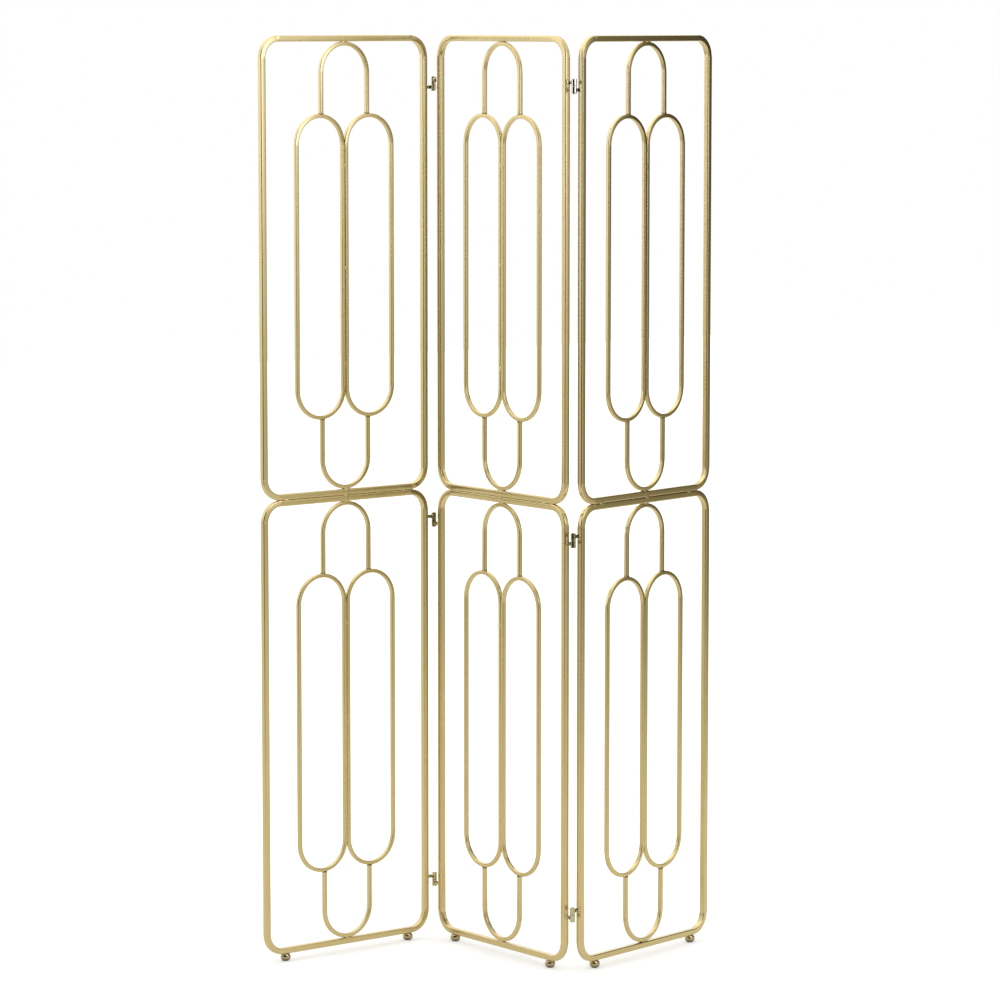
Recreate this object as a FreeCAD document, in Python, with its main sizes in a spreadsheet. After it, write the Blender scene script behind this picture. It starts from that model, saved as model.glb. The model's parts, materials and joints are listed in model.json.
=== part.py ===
import FreeCAD, Part

import math
import os
import re

import Sketcher
from FreeCAD import Placement, Rotation, Vector

# Three panel folding room divider of bent square tube and square bar, in millimetres.
# The middle panel stands along X, Z is up and the feet stand on Z = 0.
# The origin is the middle of the box round the divider as it stands folded out.

DOC = FreeCAD.newDocument("RoomDivider")
SHEET = DOC.addObject("Spreadsheet::Sheet", "Sizes")

SIZES = {
    # Frames of bent square tube, two to a panel
    "panel_width": 400,
    "frame_height": 893,
    "tube_side": 12,
    "tube_wall": 1,
    "tube_edge_radius": 1.5,
    "tube_bend_radius": 42,
    # Loops and arches of bent square bar
    "bar_side": 8,
    "loop_width": 118,
    "loop_height": 592,
    # Feet
    "foot_inset": 50,
    "foot_height": 14,
    "pad_radius": 6.1,
    "pad_height": 2.2,
    "pad_recess": 1,
    "cap_waist_radius": 7,
    "cap_belly_radius": 10.1,
    "cap_belly_height": 7,
    "cap_top_radius": 7.8,
    "stud_radius": 2.5,
    "stud_sink": 6,
    "stud_rise": 10,
    "insert_radius": 3.6,
    "insert_length": 8.6,
    "insert_flange_radius": 5,
    "insert_flange_height": 0.8,
    "foot_clearance": 0.05,
    # Hinges
    "hinge_reach": 18,
    "hinge_top_drop": 95,
    "hinge_centre_drop": 65,
    "hinge_bottom_rise": 101,
    "knuckle_radius": 5,
    "knuckle_height": 13.8,
    "knuckle_gap": 0.3,
    "knuckle_chamfer": 0.5,
    "neck_radius": 3.4,
    "neck_flare_radius": 4.7,
    "neck_flare_reach": 8.5,
    "neck_root_radius": 4.5,
    "neck_root_reach": 4,
    "pin_radius": 2.5,
    "pin_clearance": 0.05,
    "pin_head_radius": 3.4,
    "pin_head_height": 1,
    # Angles by which the outer panels stand folded from flat, in degrees
    "left_fold_angle": 90,
    "right_fold_angle": 101,
}

NODES = {}


# Sizes and expressions


def fill_sheet():
    for row, (alias, value) in enumerate(SIZES.items(), start=1):
        SHEET.set(f"A{row}", alias)
        SHEET.set(f"B{row}", str(value))
        SHEET.setAlias(f"B{row}", alias)
    DOC.recompute()


def size(expression):
    """The value of an expression in the sheet's names."""
    return float(SHEET.evalExpression(expression))


def cells(expression):
    """The same expression as other objects write it, with the sheet named before each size."""
    return re.sub(r"[a-z_]+", lambda word: f"Sizes.{word.group()}", expression)


# Sketch helpers

AXIS_X, AXIS_Y = range(-1, -3, -1)
START, END, CENTRE = range(1, 4)
ROOT = (AXIS_X, START)


def new_body(label):
    body = DOC.addObject("PartDesign::Body", "Body")
    body.Label = label
    return body


def new_sketch(body, label, role="XZ_Plane"):
    sketch = body.newObject("Sketcher::SketchObject", "Sketch")
    sketch.Label = label
    planes = [plane for plane in body.Origin.OriginFeatures if plane.Role == role]
    sketch.AttachmentSupport = (planes[0], "")
    sketch.MapMode = "FlatFace"
    return sketch


def tie(sketch, kind, *elements):
    return sketch.addConstraint(Sketcher.Constraint(kind, *elements))


def dimension(sketch, kind, elements, expression):
    """Adds a dimension that follows the sheet."""
    value = size(expression)
    index = sketch.addConstraint(Sketcher.Constraint(kind, *elements, value))
    sketch.setExpression(f"Constraints[{index}]", cells(expression))


def add_line(sketch, start, end):
    return sketch.addGeometry(Part.LineSegment(Vector(*start, 0), Vector(*end, 0)), False)


def add_arc(sketch, centre, radius, first, last):
    circle = Part.Circle(Vector(*centre, 0), Vector(0, 0, 1), radius)
    return sketch.addGeometry(Part.ArcOfCircle(circle, first, last), False)


def rounded_rectangle(sketch, width, height, radius):
    """A rectangle with round corners about the sketch's origin."""
    x, y, r = size(width) / 2, size(height) / 2, size(radius)
    quarter = math.pi / 2
    top = add_line(sketch, (r - x, y), (x - r, y))
    right = add_line(sketch, (x, y - r), (x, r - y))
    bottom = add_line(sketch, (x - r, -y), (r - x, -y))
    left = add_line(sketch, (-x, r - y), (-x, y - r))
    top_right = add_arc(sketch, (x - r, y - r), r, 0, quarter)
    top_left = add_arc(sketch, (r - x, y - r), r, quarter, 2 * quarter)
    bottom_left = add_arc(sketch, (r - x, r - y), r, 2 * quarter, 3 * quarter)
    bottom_right = add_arc(sketch, (x - r, r - y), r, 3 * quarter, 4 * quarter)
    for arc, before, after in (
        (top_right, (right, START), (top, END)),
        (top_left, (top, START), (left, END)),
        (bottom_left, (left, START), (bottom, END)),
        (bottom_right, (bottom, START), (right, END)),
    ):
        tie(sketch, "Tangent", arc, START, *before)
        tie(sketch, "Tangent", arc, END, *after)
    for arc in (top_left, bottom_left, bottom_right):
        tie(sketch, "Equal", top_right, arc)
    tie(sketch, "Symmetric", top, START, top, END, AXIS_Y)
    tie(sketch, "Symmetric", left, START, left, END, AXIS_X)
    tie(sketch, "Horizontal", bottom)
    tie(sketch, "Vertical", right)
    dimension(sketch, "DistanceX", (left, START, right, START), width)
    dimension(sketch, "DistanceY", (bottom, START, top, START), height)
    dimension(sketch, "Radius", (top_right,), radius)


def stadium(sketch, width, straight):
    """Two upright lines joined by half circles, about the sketch's origin."""
    x, y = size(width) / 2, size(straight) / 2
    right = add_line(sketch, (x, -y), (x, y))
    left = add_line(sketch, (-x, y), (-x, -y))
    top = add_arc(sketch, (0, y), x, 0, math.pi)
    bottom = add_arc(sketch, (0, -y), x, math.pi, 2 * math.pi)
    tie(sketch, "Tangent", top, START, right, END)
    tie(sketch, "Tangent", top, END, left, START)
    tie(sketch, "Tangent", bottom, START, left, END)
    tie(sketch, "Tangent", bottom, END, right, START)
    tie(sketch, "Symmetric", right, START, right, END, AXIS_X)
    tie(sketch, "Vertical", left)
    tie(sketch, "PointOnObject", top, CENTRE, AXIS_Y)
    dimension(sketch, "DistanceX", (left, END, right, START), width)
    dimension(sketch, "DistanceY", (right, START, right, END), straight)


def horseshoe(sketch, width, bar, leg):
    """An arch of one bar: a half circle about the origin with two legs down."""
    outer = size(width) / 2
    inner = outer - size(bar)
    foot = -size(leg)
    crown = add_arc(sketch, (0, 0), outer, 0, math.pi)
    soffit = add_arc(sketch, (0, 0), inner, 0, math.pi)
    right_outside = add_line(sketch, (outer, foot), (outer, 0))
    right_foot = add_line(sketch, (inner, foot), (outer, foot))
    right_inside = add_line(sketch, (inner, 0), (inner, foot))
    left_outside = add_line(sketch, (-outer, 0), (-outer, foot))
    left_foot = add_line(sketch, (-outer, foot), (-inner, foot))
    left_inside = add_line(sketch, (-inner, foot), (-inner, 0))
    tie(sketch, "Coincident", crown, CENTRE, *ROOT)
    tie(sketch, "Coincident", soffit, CENTRE, *ROOT)
    tie(sketch, "Tangent", crown, START, right_outside, END)
    tie(sketch, "Tangent", crown, END, left_outside, START)
    tie(sketch, "Tangent", soffit, START, right_inside, START)
    tie(sketch, "Tangent", soffit, END, left_inside, END)
    for upright in (right_outside, left_outside, right_inside, left_inside):
        tie(sketch, "Vertical", upright)
    tie(sketch, "Coincident", right_foot, START, right_inside, END)
    tie(sketch, "Coincident", right_foot, END, right_outside, START)
    tie(sketch, "Coincident", left_foot, START, left_outside, END)
    tie(sketch, "Coincident", left_foot, END, left_inside, START)
    tie(sketch, "Horizontal", right_foot)
    tie(sketch, "Horizontal", left_foot)
    tie(sketch, "Equal", right_outside, left_outside)
    dimension(sketch, "Radius", (crown,), f"({width}) / 2")
    dimension(sketch, "Radius", (soffit,), f"({width}) / 2 - {bar}")
    dimension(sketch, "DistanceY", (right_outside, START, right_outside, END), leg)


def arc_centre(touch, other, level):
    """The centre of an arc through two points, level with or plumb with the first."""
    (px, py), (qx, qy) = touch, other
    if level:
        return ((qx**2 - px**2 + (py - qy) ** 2) / (2 * (qx - px)), py)
    return (px, (qy**2 - py**2 + (px - qx) ** 2) / (2 * (qy - py)))


def add_curve(sketch, start, end, form):
    """An arc whose centre is level or plumb with its start or end.

    Returns the arc and the places of the outline's start and end on it.
    """
    level = form.startswith("level")
    from_start = form.endswith("start")
    touch, other = (start, end) if from_start else (end, start)
    cx, cy = arc_centre(touch, other, level)
    radius = math.hypot(touch[0] - cx, touch[1] - cy)
    first = math.atan2(start[1] - cy, start[0] - cx)
    last = math.atan2(end[1] - cy, end[0] - cx)
    forward = (last - first) % (2 * math.pi) < math.pi
    arc = add_arc(sketch, (cx, cy), radius, *((first, last) if forward else (last, first)))
    ends = (START, END) if forward else (END, START)
    touching = ends[0] if from_start else ends[1]
    tie(sketch, "Horizontal" if level else "Vertical", arc, CENTRE, arc, touching)
    return arc, ends


def place_point(sketch, element, point, along_x, along_y):
    """Fixes a point at two distances from the sketch's origin."""
    for kind, axis, expression in (
        ("DistanceX", AXIS_Y, along_x),
        ("DistanceY", AXIS_X, along_y),
    ):
        if expression == "0":
            tie(sketch, "PointOnObject", element, point, axis)
        elif size(expression) > 0:
            dimension(sketch, kind, (*ROOT, element, point), expression)
        else:
            dimension(sketch, kind, (element, point, *ROOT), f"-({expression})")


def outline(sketch, corners):
    """A closed outline. Each corner is its x, its y and the form of the edge after it."""
    points = [(size(x), size(y)) for x, y, _ in corners]
    edges = []
    for index, (_, _, form) in enumerate(corners):
        start = points[index]
        end = points[(index + 1) % len(points)]
        if form == "line":
            edges.append((add_line(sketch, start, end), (START, END)))
        else:
            edges.append(add_curve(sketch, start, end, form))
    for index, (edge, ends) in enumerate(edges):
        following, following_ends = edges[(index + 1) % len(edges)]
        tie(sketch, "Coincident", edge, ends[1], following, following_ends[0])
        place_point(sketch, edge, ends[0], *corners[index][:2])


# Feature helpers


def pad(body, sketch, thickness):
    """A solid of the sketch, half its thickness to each side."""
    feature = body.newObject("PartDesign::Pad", "Pad")
    feature.Profile = sketch
    feature.SideType = "Symmetric"
    feature.setExpression("Length", cells(thickness))
    sketch.Visibility = False
    return feature


def revolve(body, sketch, axis):
    feature = body.newObject("PartDesign::Revolution", "Revolution")
    feature.Profile = sketch
    feature.ReferenceAxis = (sketch, [axis])
    feature.Angle = 360
    return feature


def round_edges(body, base, faces, radius):
    feature = body.newObject("PartDesign::Fillet", "Fillet")
    feature.Base = (base, faces)
    feature.setExpression("Radius", cells(radius))
    return feature


def faces_facing(feature, direction):
    """The names of a feature's flat faces that look along a direction or against it."""
    found = []
    for index, face in enumerate(feature.Shape.Faces, start=1):
        flat = face.Surface.TypeId == "Part::GeomPlane"
        if flat and abs(face.normalAt(0, 0).dot(direction)) > 0.999:
            found.append(f"Face{index}")
    return found


def keep(label, piece, placement):
    """Names a finished sub-part and puts it in its place."""
    piece.Label = label
    piece.Placement = placement
    NODES[label] = piece


def group(pieces):
    compound = DOC.addObject("Part::Compound", "Group")
    compound.Links = pieces
    return compound


def fuse(pieces):
    fused = DOC.addObject("Part::MultiFuse", "Fused")
    fused.Shapes = pieces
    return fused


def at(x=0.0, y=0.0, z=0.0):
    return Placement(Vector(x, y, z), Rotation())


def turned(axis, angle):
    return Placement(Vector(), Rotation(axis, angle))


UP = Vector(0, 0, 1)
FRONT = Vector(0, -1, 0)
HALF_TURN = 180


# Frame: a bent square tube, closed into a ring


def ring(label, inset, thickness):
    """A flat ring that follows the tube, set in from its walls."""
    body = new_body(label)
    sketch = new_sketch(body, f"{label} outline")
    shrink = f"2 * ({inset})"
    rounded_rectangle(
        sketch,
        f"panel_width - {shrink}",
        f"frame_height - {shrink}",
        f"tube_bend_radius - ({inset})",
    )
    rounded_rectangle(
        sketch,
        f"panel_width - 2 * tube_side + {shrink}",
        f"frame_height - 2 * tube_side + {shrink}",
        f"tube_bend_radius - tube_side + ({inset})",
    )
    return body, pad(body, sketch, thickness)


def insert_hole(side):
    """The hole for a foot's threaded insert through the rail's lower wall."""
    hole = DOC.addObject("Part::Cylinder", "InsertHole")
    hole.setExpression("Radius", cells("insert_radius + foot_clearance"))
    hole.setExpression("Height", cells("2 * tube_wall"))
    hole.setExpression(".Placement.Base.x", cells(f"{side} * (panel_width / 2 - foot_inset)"))
    hole.setExpression(".Placement.Base.z", cells("-frame_height / 2 - tube_wall / 2"))
    return hole


def frame(label, stands_on_feet):
    """A hollow tube frame, with holes for two inserts if it stands on feet."""
    tube, ring_pad = ring(f"{label} tube", "0 * tube_wall", "tube_side")
    DOC.recompute()
    round_edges(tube, ring_pad, faces_facing(ring_pad, FRONT), "tube_edge_radius")
    removed, _ = ring(f"{label} bore", "tube_wall", "tube_side - 2 * tube_wall")
    if stands_on_feet:
        removed = fuse([removed, insert_hole(-1), insert_hole(1)])
    cut = DOC.addObject("Part::Cut", "Frame")
    cut.Base = tube
    cut.Tool = removed
    return cut


# Loops and arches: bent square bar


def loop(label):
    body = new_body(label)
    sketch = new_sketch(body, f"{label} outline")
    straight = "loop_height - loop_width"
    stadium(sketch, "loop_width", straight)
    stadium(sketch, "loop_width - 2 * bar_side", straight)
    pad(body, sketch, "bar_side")
    return body


ARCH_CENTRE = "(frame_height / 2 - tube_side - loop_width / 2)"
ARCH_LEG = f"{ARCH_CENTRE} - loop_height / 2"


def arch(label):
    body = new_body(label)
    sketch = new_sketch(body, f"{label} outline")
    horseshoe(sketch, "loop_width", "bar_side", ARCH_LEG)
    pad(body, sketch, "bar_side")
    return body


# Hinge pieces


def knuckle(label):
    """An eye about Z with a neck along X that flares to its root on the stile."""
    body = new_body(label)
    barrel_sketch = new_sketch(body, f"{label} eye")
    half = "knuckle_height / 2"
    outline(
        barrel_sketch,
        [
            ("0", f"-{half}", "line"),
            ("knuckle_radius - knuckle_chamfer", f"-{half}", "line"),
            ("knuckle_radius", f"knuckle_chamfer - {half}", "line"),
            ("knuckle_radius", f"{half} - knuckle_chamfer", "line"),
            ("knuckle_radius - knuckle_chamfer", half, "line"),
            ("0", half, "line"),
        ],
    )
    revolve(body, barrel_sketch, "V_Axis")
    neck_sketch = new_sketch(body, f"{label} neck")
    outline(
        neck_sketch,
        [
            ("pin_radius", "0", "line"),
            ("hinge_reach", "0", "line"),
            ("hinge_reach", "neck_root_radius", "plumb_end"),
            ("hinge_reach - neck_root_reach", "neck_radius", "line"),
            ("neck_flare_reach", "neck_radius", "plumb_start"),
            ("pin_radius", "neck_flare_radius", "line"),
        ],
    )
    revolve(body, neck_sketch, "H_Axis")
    bore_sketch = new_sketch(body, f"{label} bore", "XY_Plane")
    circle = Part.Circle(Vector(), UP, size("pin_radius + pin_clearance"))
    hole = bore_sketch.addGeometry(circle, False)
    tie(bore_sketch, "Coincident", hole, CENTRE, *ROOT)
    dimension(bore_sketch, "Radius", (hole,), "pin_radius + pin_clearance")
    pocket = body.newObject("PartDesign::Pocket", "Pocket")
    pocket.Profile = bore_sketch
    pocket.SideType = "Symmetric"
    pocket.setExpression("Length", cells("2 * knuckle_height"))
    return body


def pin(label):
    """A pin through two knuckles, with a low domed head at each end."""
    body = new_body(label)
    sketch = new_sketch(body, f"{label} profile")
    seat = "(knuckle_height + knuckle_gap)"
    outline(
        sketch,
        [
            ("0", f"-{seat} - pin_head_height", "plumb_start"),
            ("pin_head_radius", f"-{seat}", "line"),
            ("pin_radius", f"-{seat}", "line"),
            ("pin_radius", seat, "line"),
            ("pin_head_radius", seat, "plumb_end"),
            ("0", f"{seat} + pin_head_height", "line"),
        ],
    )
    revolve(body, sketch, "V_Axis")
    return body


# Foot pieces, each about a vertical axis with the floor at zero

CAP_TOP = "(foot_height - insert_flange_height)"
CAP_BORE_END = f"{CAP_TOP} - stud_sink"


def turned_piece(label, corners):
    body = new_body(label)
    sketch = new_sketch(body, f"{label} profile")
    outline(sketch, corners)
    revolve(body, sketch, "V_Axis")
    return body


def foot_pad(label):
    return turned_piece(
        label,
        [
            ("0", "0", "line"),
            ("pad_radius - pad_recess / 2", "0", "line"),
            ("pad_radius", "pad_recess / 2", "line"),
            ("pad_radius", "pad_height", "line"),
            ("0", "pad_height", "line"),
        ],
    )


def foot_cap(label):
    recess = "pad_radius + foot_clearance"
    bore = "stud_radius + foot_clearance"
    return turned_piece(
        label,
        [
            ("0", "pad_height", "line"),
            (recess, "pad_height", "line"),
            (recess, "pad_height - pad_recess", "line"),
            ("cap_waist_radius", "pad_height - pad_recess", "level_end"),
            ("cap_belly_radius", "cap_belly_height", "level_start"),
            ("cap_top_radius", CAP_TOP, "line"),
            (bore, CAP_TOP, "line"),
            (bore, CAP_BORE_END, "line"),
            ("0", CAP_BORE_END, "line"),
        ],
    )


def foot_stud(label):
    return turned_piece(
        label,
        [
            ("0", CAP_BORE_END, "line"),
            ("stud_radius", CAP_BORE_END, "line"),
            ("stud_radius", "foot_height + stud_rise", "line"),
            ("0", "foot_height + stud_rise", "line"),
        ],
    )


def foot_insert(label):
    bore = "stud_radius + foot_clearance"
    return turned_piece(
        label,
        [
            (bore, CAP_TOP, "line"),
            ("insert_flange_radius", CAP_TOP, "line"),
            ("insert_flange_radius", "foot_height", "line"),
            ("insert_radius", "foot_height", "line"),
            ("insert_radius", "foot_height + insert_length", "line"),
            (bore, "foot_height + insert_length", "line"),
        ],
    )


# Places

PIVOT = "(panel_width / 2 + hinge_reach)"
HINGE_HEIGHTS = {
    "top": "foot_height + 2 * frame_height - hinge_top_drop",
    "centre": "foot_height + frame_height - hinge_centre_drop",
    "bottom": "foot_height + hinge_bottom_rise",
}
MIDDLE_KNUCKLE_IS_UPPER = {"top": True, "centre": False, "bottom": False}


def folded(side, angle):
    """The place of an outer panel, folded about the hinge at one side of the middle one."""
    pivot = size(PIVOT)
    return at(x=side * pivot) * turned(UP, angle) * at(x=side * pivot)


def plan_outlines():
    """Round-cornered bars and discs that bound the divider seen from above."""
    for place in PANEL_PLACES.values():
        along = place.Rotation.multVec(Vector(1, 0, 0))
        yield place.Base, along, size("panel_width") / 2, size("tube_side / 2"), size("tube_edge_radius")
        for side in (-1, 1):
            foot = place.multVec(Vector(side * size("panel_width / 2 - foot_inset"), 0, 0))
            radius = size("cap_belly_radius")
            yield foot, along, radius, radius, radius
    for side in (-1, 1):
        radius = size("knuckle_radius")
        yield Vector(side * size(PIVOT), 0, 0), Vector(1, 0, 0), radius, radius, radius


def reach(direction):
    """How far the divider reaches from the middle panel's centre in a direction."""
    furthest = []
    for centre, along, half_length, half_depth, radius in plan_outlines():
        across = UP.cross(along)
        furthest.append(
            centre.dot(direction)
            + (half_length - radius) * abs(along.dot(direction))
            + (half_depth - radius) * abs(across.dot(direction))
            + radius
        )
    return max(furthest)


fill_sheet()

PANEL_PLACES = {
    "left": folded(-1, size("left_fold_angle")),
    "middle": at(),
    "right": folded(1, size("right_fold_angle")),
}


def centring():
    """The shift that brings the middle of the divider's box to the origin."""
    x = (reach(Vector(-1, 0, 0)) - reach(Vector(1, 0, 0))) / 2
    y = (reach(Vector(0, -1, 0)) - reach(Vector(0, 1, 0))) / 2
    return at(x=x, y=y)


# Assembly


def build_half(prefix, place, stands_on_feet):
    """One frame with its two loops and two arches. The place is the frame's centre."""
    keep(f"{prefix}_frame", frame(f"{prefix} frame", stands_on_feet), place)
    for name, side in (("left", -1), ("right", 1)):
        node = f"{prefix}_{name}_loop"
        keep(node, loop(node), place * at(x=side * size("loop_width / 2")))
    rise = at(z=size(ARCH_CENTRE))
    crown = f"{prefix}_crown_arch"
    keep(crown, arch(crown), place * rise)
    base = f"{prefix}_base_arch"
    keep(base, arch(base), place * turned(FRONT, HALF_TURN) * rise)


def build_feet(prefix, place):
    makers = {
        "foot_pads": foot_pad,
        "foot_caps": foot_cap,
        "foot_studs": foot_stud,
        "foot_inserts": foot_insert,
    }
    for name, maker in makers.items():
        pair = []
        for side in (-1, 1):
            piece = maker(f"{prefix} {name} {'left' if side < 0 else 'right'}")
            piece.Placement = at(x=side * size("panel_width / 2 - foot_inset"))
            pair.append(piece)
        keep(f"{prefix}_{name}", group(pair), place)


def build_panel(side, place):
    prefix = f"{side}_panel"
    lower = place * at(z=size("foot_height + frame_height / 2"))
    upper = place * at(z=size("foot_height + 3 * frame_height / 2"))
    build_half(f"{prefix}_lower", lower, True)
    build_half(f"{prefix}_upper", upper, False)
    build_feet(prefix, place)


def build_knuckle(node, place, side, height, is_upper):
    """A knuckle on the pivot at one side of a panel, with its neck to the stile."""
    lift = (1 if is_upper else -1) * size("(knuckle_height + knuckle_gap) / 2")
    towards_stile = turned(UP, HALF_TURN if side > 0 else 0)
    keep(
        node,
        knuckle(node),
        place * at(x=side * size(PIVOT), z=size(height) + lift) * towards_stile,
    )


def build_hinges(places):
    for name, side in (("left", -1), ("right", 1)):
        pins = []
        for level, height in HINGE_HEIGHTS.items():
            upper = MIDDLE_KNUCKLE_IS_UPPER[level]
            build_knuckle(f"middle_panel_{name}_{level}_knuckle", places["middle"], side, height, upper)
            build_knuckle(f"{name}_panel_{level}_knuckle", places[name], -side, height, not upper)
            piece = pin(f"{name} {level} pin")
            piece.Placement = at(x=side * size(PIVOT), z=size(height))
            pins.append(piece)
        keep(f"{name}_hinge_pins", group(pins), places["middle"])


def build():
    centre = centring()
    places = {side: centre * place for side, place in PANEL_PLACES.items()}
    for side, place in places.items():
        build_panel(side, place)
    build_hinges(places)
    DOC.recompute()
    return centre


def check():
    for item in DOC.Objects:
        if "Invalid" in item.State or "Error" in item.State:
            raise RuntimeError(f"{item.Label} did not build: {item.State}")
    for label, piece in NODES.items():
        if piece.Shape.isNull() or not piece.Shape.isValid():
            raise RuntimeError(f"{label} has no valid solid")


def export():
    os.makedirs("parts", exist_ok=True)
    for label, piece in NODES.items():
        piece.Shape.exportStep(f"parts/{label}.step")


SHIFT = build()
check()
export()
print("sub-parts", len(NODES))
print("origin shift", round(SHIFT.Base.x, 4), round(SHIFT.Base.y, 4))
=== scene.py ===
import json
import math

import bpy
import numpy as np
from bpy.props import FloatProperty, FloatVectorProperty, PointerProperty
from bpy.types import Operator, Panel, PropertyGroup
from mathutils import Euler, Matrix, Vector


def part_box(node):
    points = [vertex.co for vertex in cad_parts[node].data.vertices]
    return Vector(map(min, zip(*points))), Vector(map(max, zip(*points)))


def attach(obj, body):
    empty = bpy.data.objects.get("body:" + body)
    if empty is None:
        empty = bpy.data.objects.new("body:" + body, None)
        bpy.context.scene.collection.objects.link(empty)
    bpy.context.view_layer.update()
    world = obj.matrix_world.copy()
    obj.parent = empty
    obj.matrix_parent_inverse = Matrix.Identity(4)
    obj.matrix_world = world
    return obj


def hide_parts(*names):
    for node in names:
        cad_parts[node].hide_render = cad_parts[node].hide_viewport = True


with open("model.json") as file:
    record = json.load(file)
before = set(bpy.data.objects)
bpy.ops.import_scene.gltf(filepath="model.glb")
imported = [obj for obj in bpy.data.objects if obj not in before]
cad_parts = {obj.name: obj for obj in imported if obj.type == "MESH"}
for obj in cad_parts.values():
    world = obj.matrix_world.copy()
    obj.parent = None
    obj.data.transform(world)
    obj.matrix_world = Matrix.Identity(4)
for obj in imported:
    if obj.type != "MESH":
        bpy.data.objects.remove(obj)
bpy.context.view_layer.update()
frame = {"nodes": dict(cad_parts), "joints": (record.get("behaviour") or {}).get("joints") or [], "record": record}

# Folding room divider of three brass panels. Lengths are in metres, Z is up and the feet
# stand on Z = 0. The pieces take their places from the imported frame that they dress.

bl_info = {
    "name": "Folding room divider",
    "version": (1, 0, 0),
    "blender": (4, 5, 0),
    "location": "View3D > Sidebar > Divider",
    "description": "Makes a folding room divider of brass tubes and bars, with its finishes",
    "category": "Add Mesh",
}

RECORD = frame["record"]

SIDES = ("left", "middle", "right")
HINGED_SIDES = ("left", "right")
HALVES = ("lower", "upper")
LEVELS = ("top", "centre", "bottom")
FEET = ("left", "right")
UP = np.array((0.0, 0.0, 1.0))
DIVIDER_HEIGHT = 1.8

# Where the maps of the necks and of the arches start: past those of the other pieces that
# have the same finish
NECK_MAP_START = 1.0
ARCH_MAP_START = 10.0


# Places read from the frame


def box(node):
    """The lowest and highest corner of a node, as two arrays."""
    low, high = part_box(node)
    return np.array(low), np.array(high)


def extent(node):
    """A node's size along X, Y and Z."""
    low, high = box(node)
    return high - low


PANEL_WIDTH, TUBE_SIDE, FRAME_HEIGHT = extent("middle_panel_lower_frame")
LOOP_WIDTH, BAR_SIDE, LOOP_HEIGHT = extent("middle_panel_lower_left_loop")
MOUNT_PLACES = {mount["name"]: np.array(mount["pos_m"]) for mount in RECORD["mounts"]}
PIVOTS = {
    joint["child"].split("_")[0]: np.array(joint["pos_m"]) for joint in frame["joints"]
}


def panel_axes(side):
    """A panel's foot-level centre, its direction to the right and its thickness direction."""
    left = MOUNT_PLACES[f"{side}_panel_left_foot"]
    right = MOUNT_PLACES[f"{side}_panel_right_foot"]
    centre = (left + right) / 2
    along = (right - left) / np.linalg.norm(right - left)
    return centre, along, np.cross(UP, along)


AXES = {side: panel_axes(side) for side in SIDES}
HINGE_REACH = PIVOTS["right"][0] - AXES["middle"][0][0] - PANEL_WIDTH / 2


def in_panel(side, points):
    """Carries points (x along the panel, y through it, z up) into the divider's frame."""
    centre, along, through = AXES[side]
    x, y, z = points[..., :1], points[..., 1:2], points[..., 2:]
    return centre + x * along + y * through + z * UP


# Surfaces worked out on grids


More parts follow.
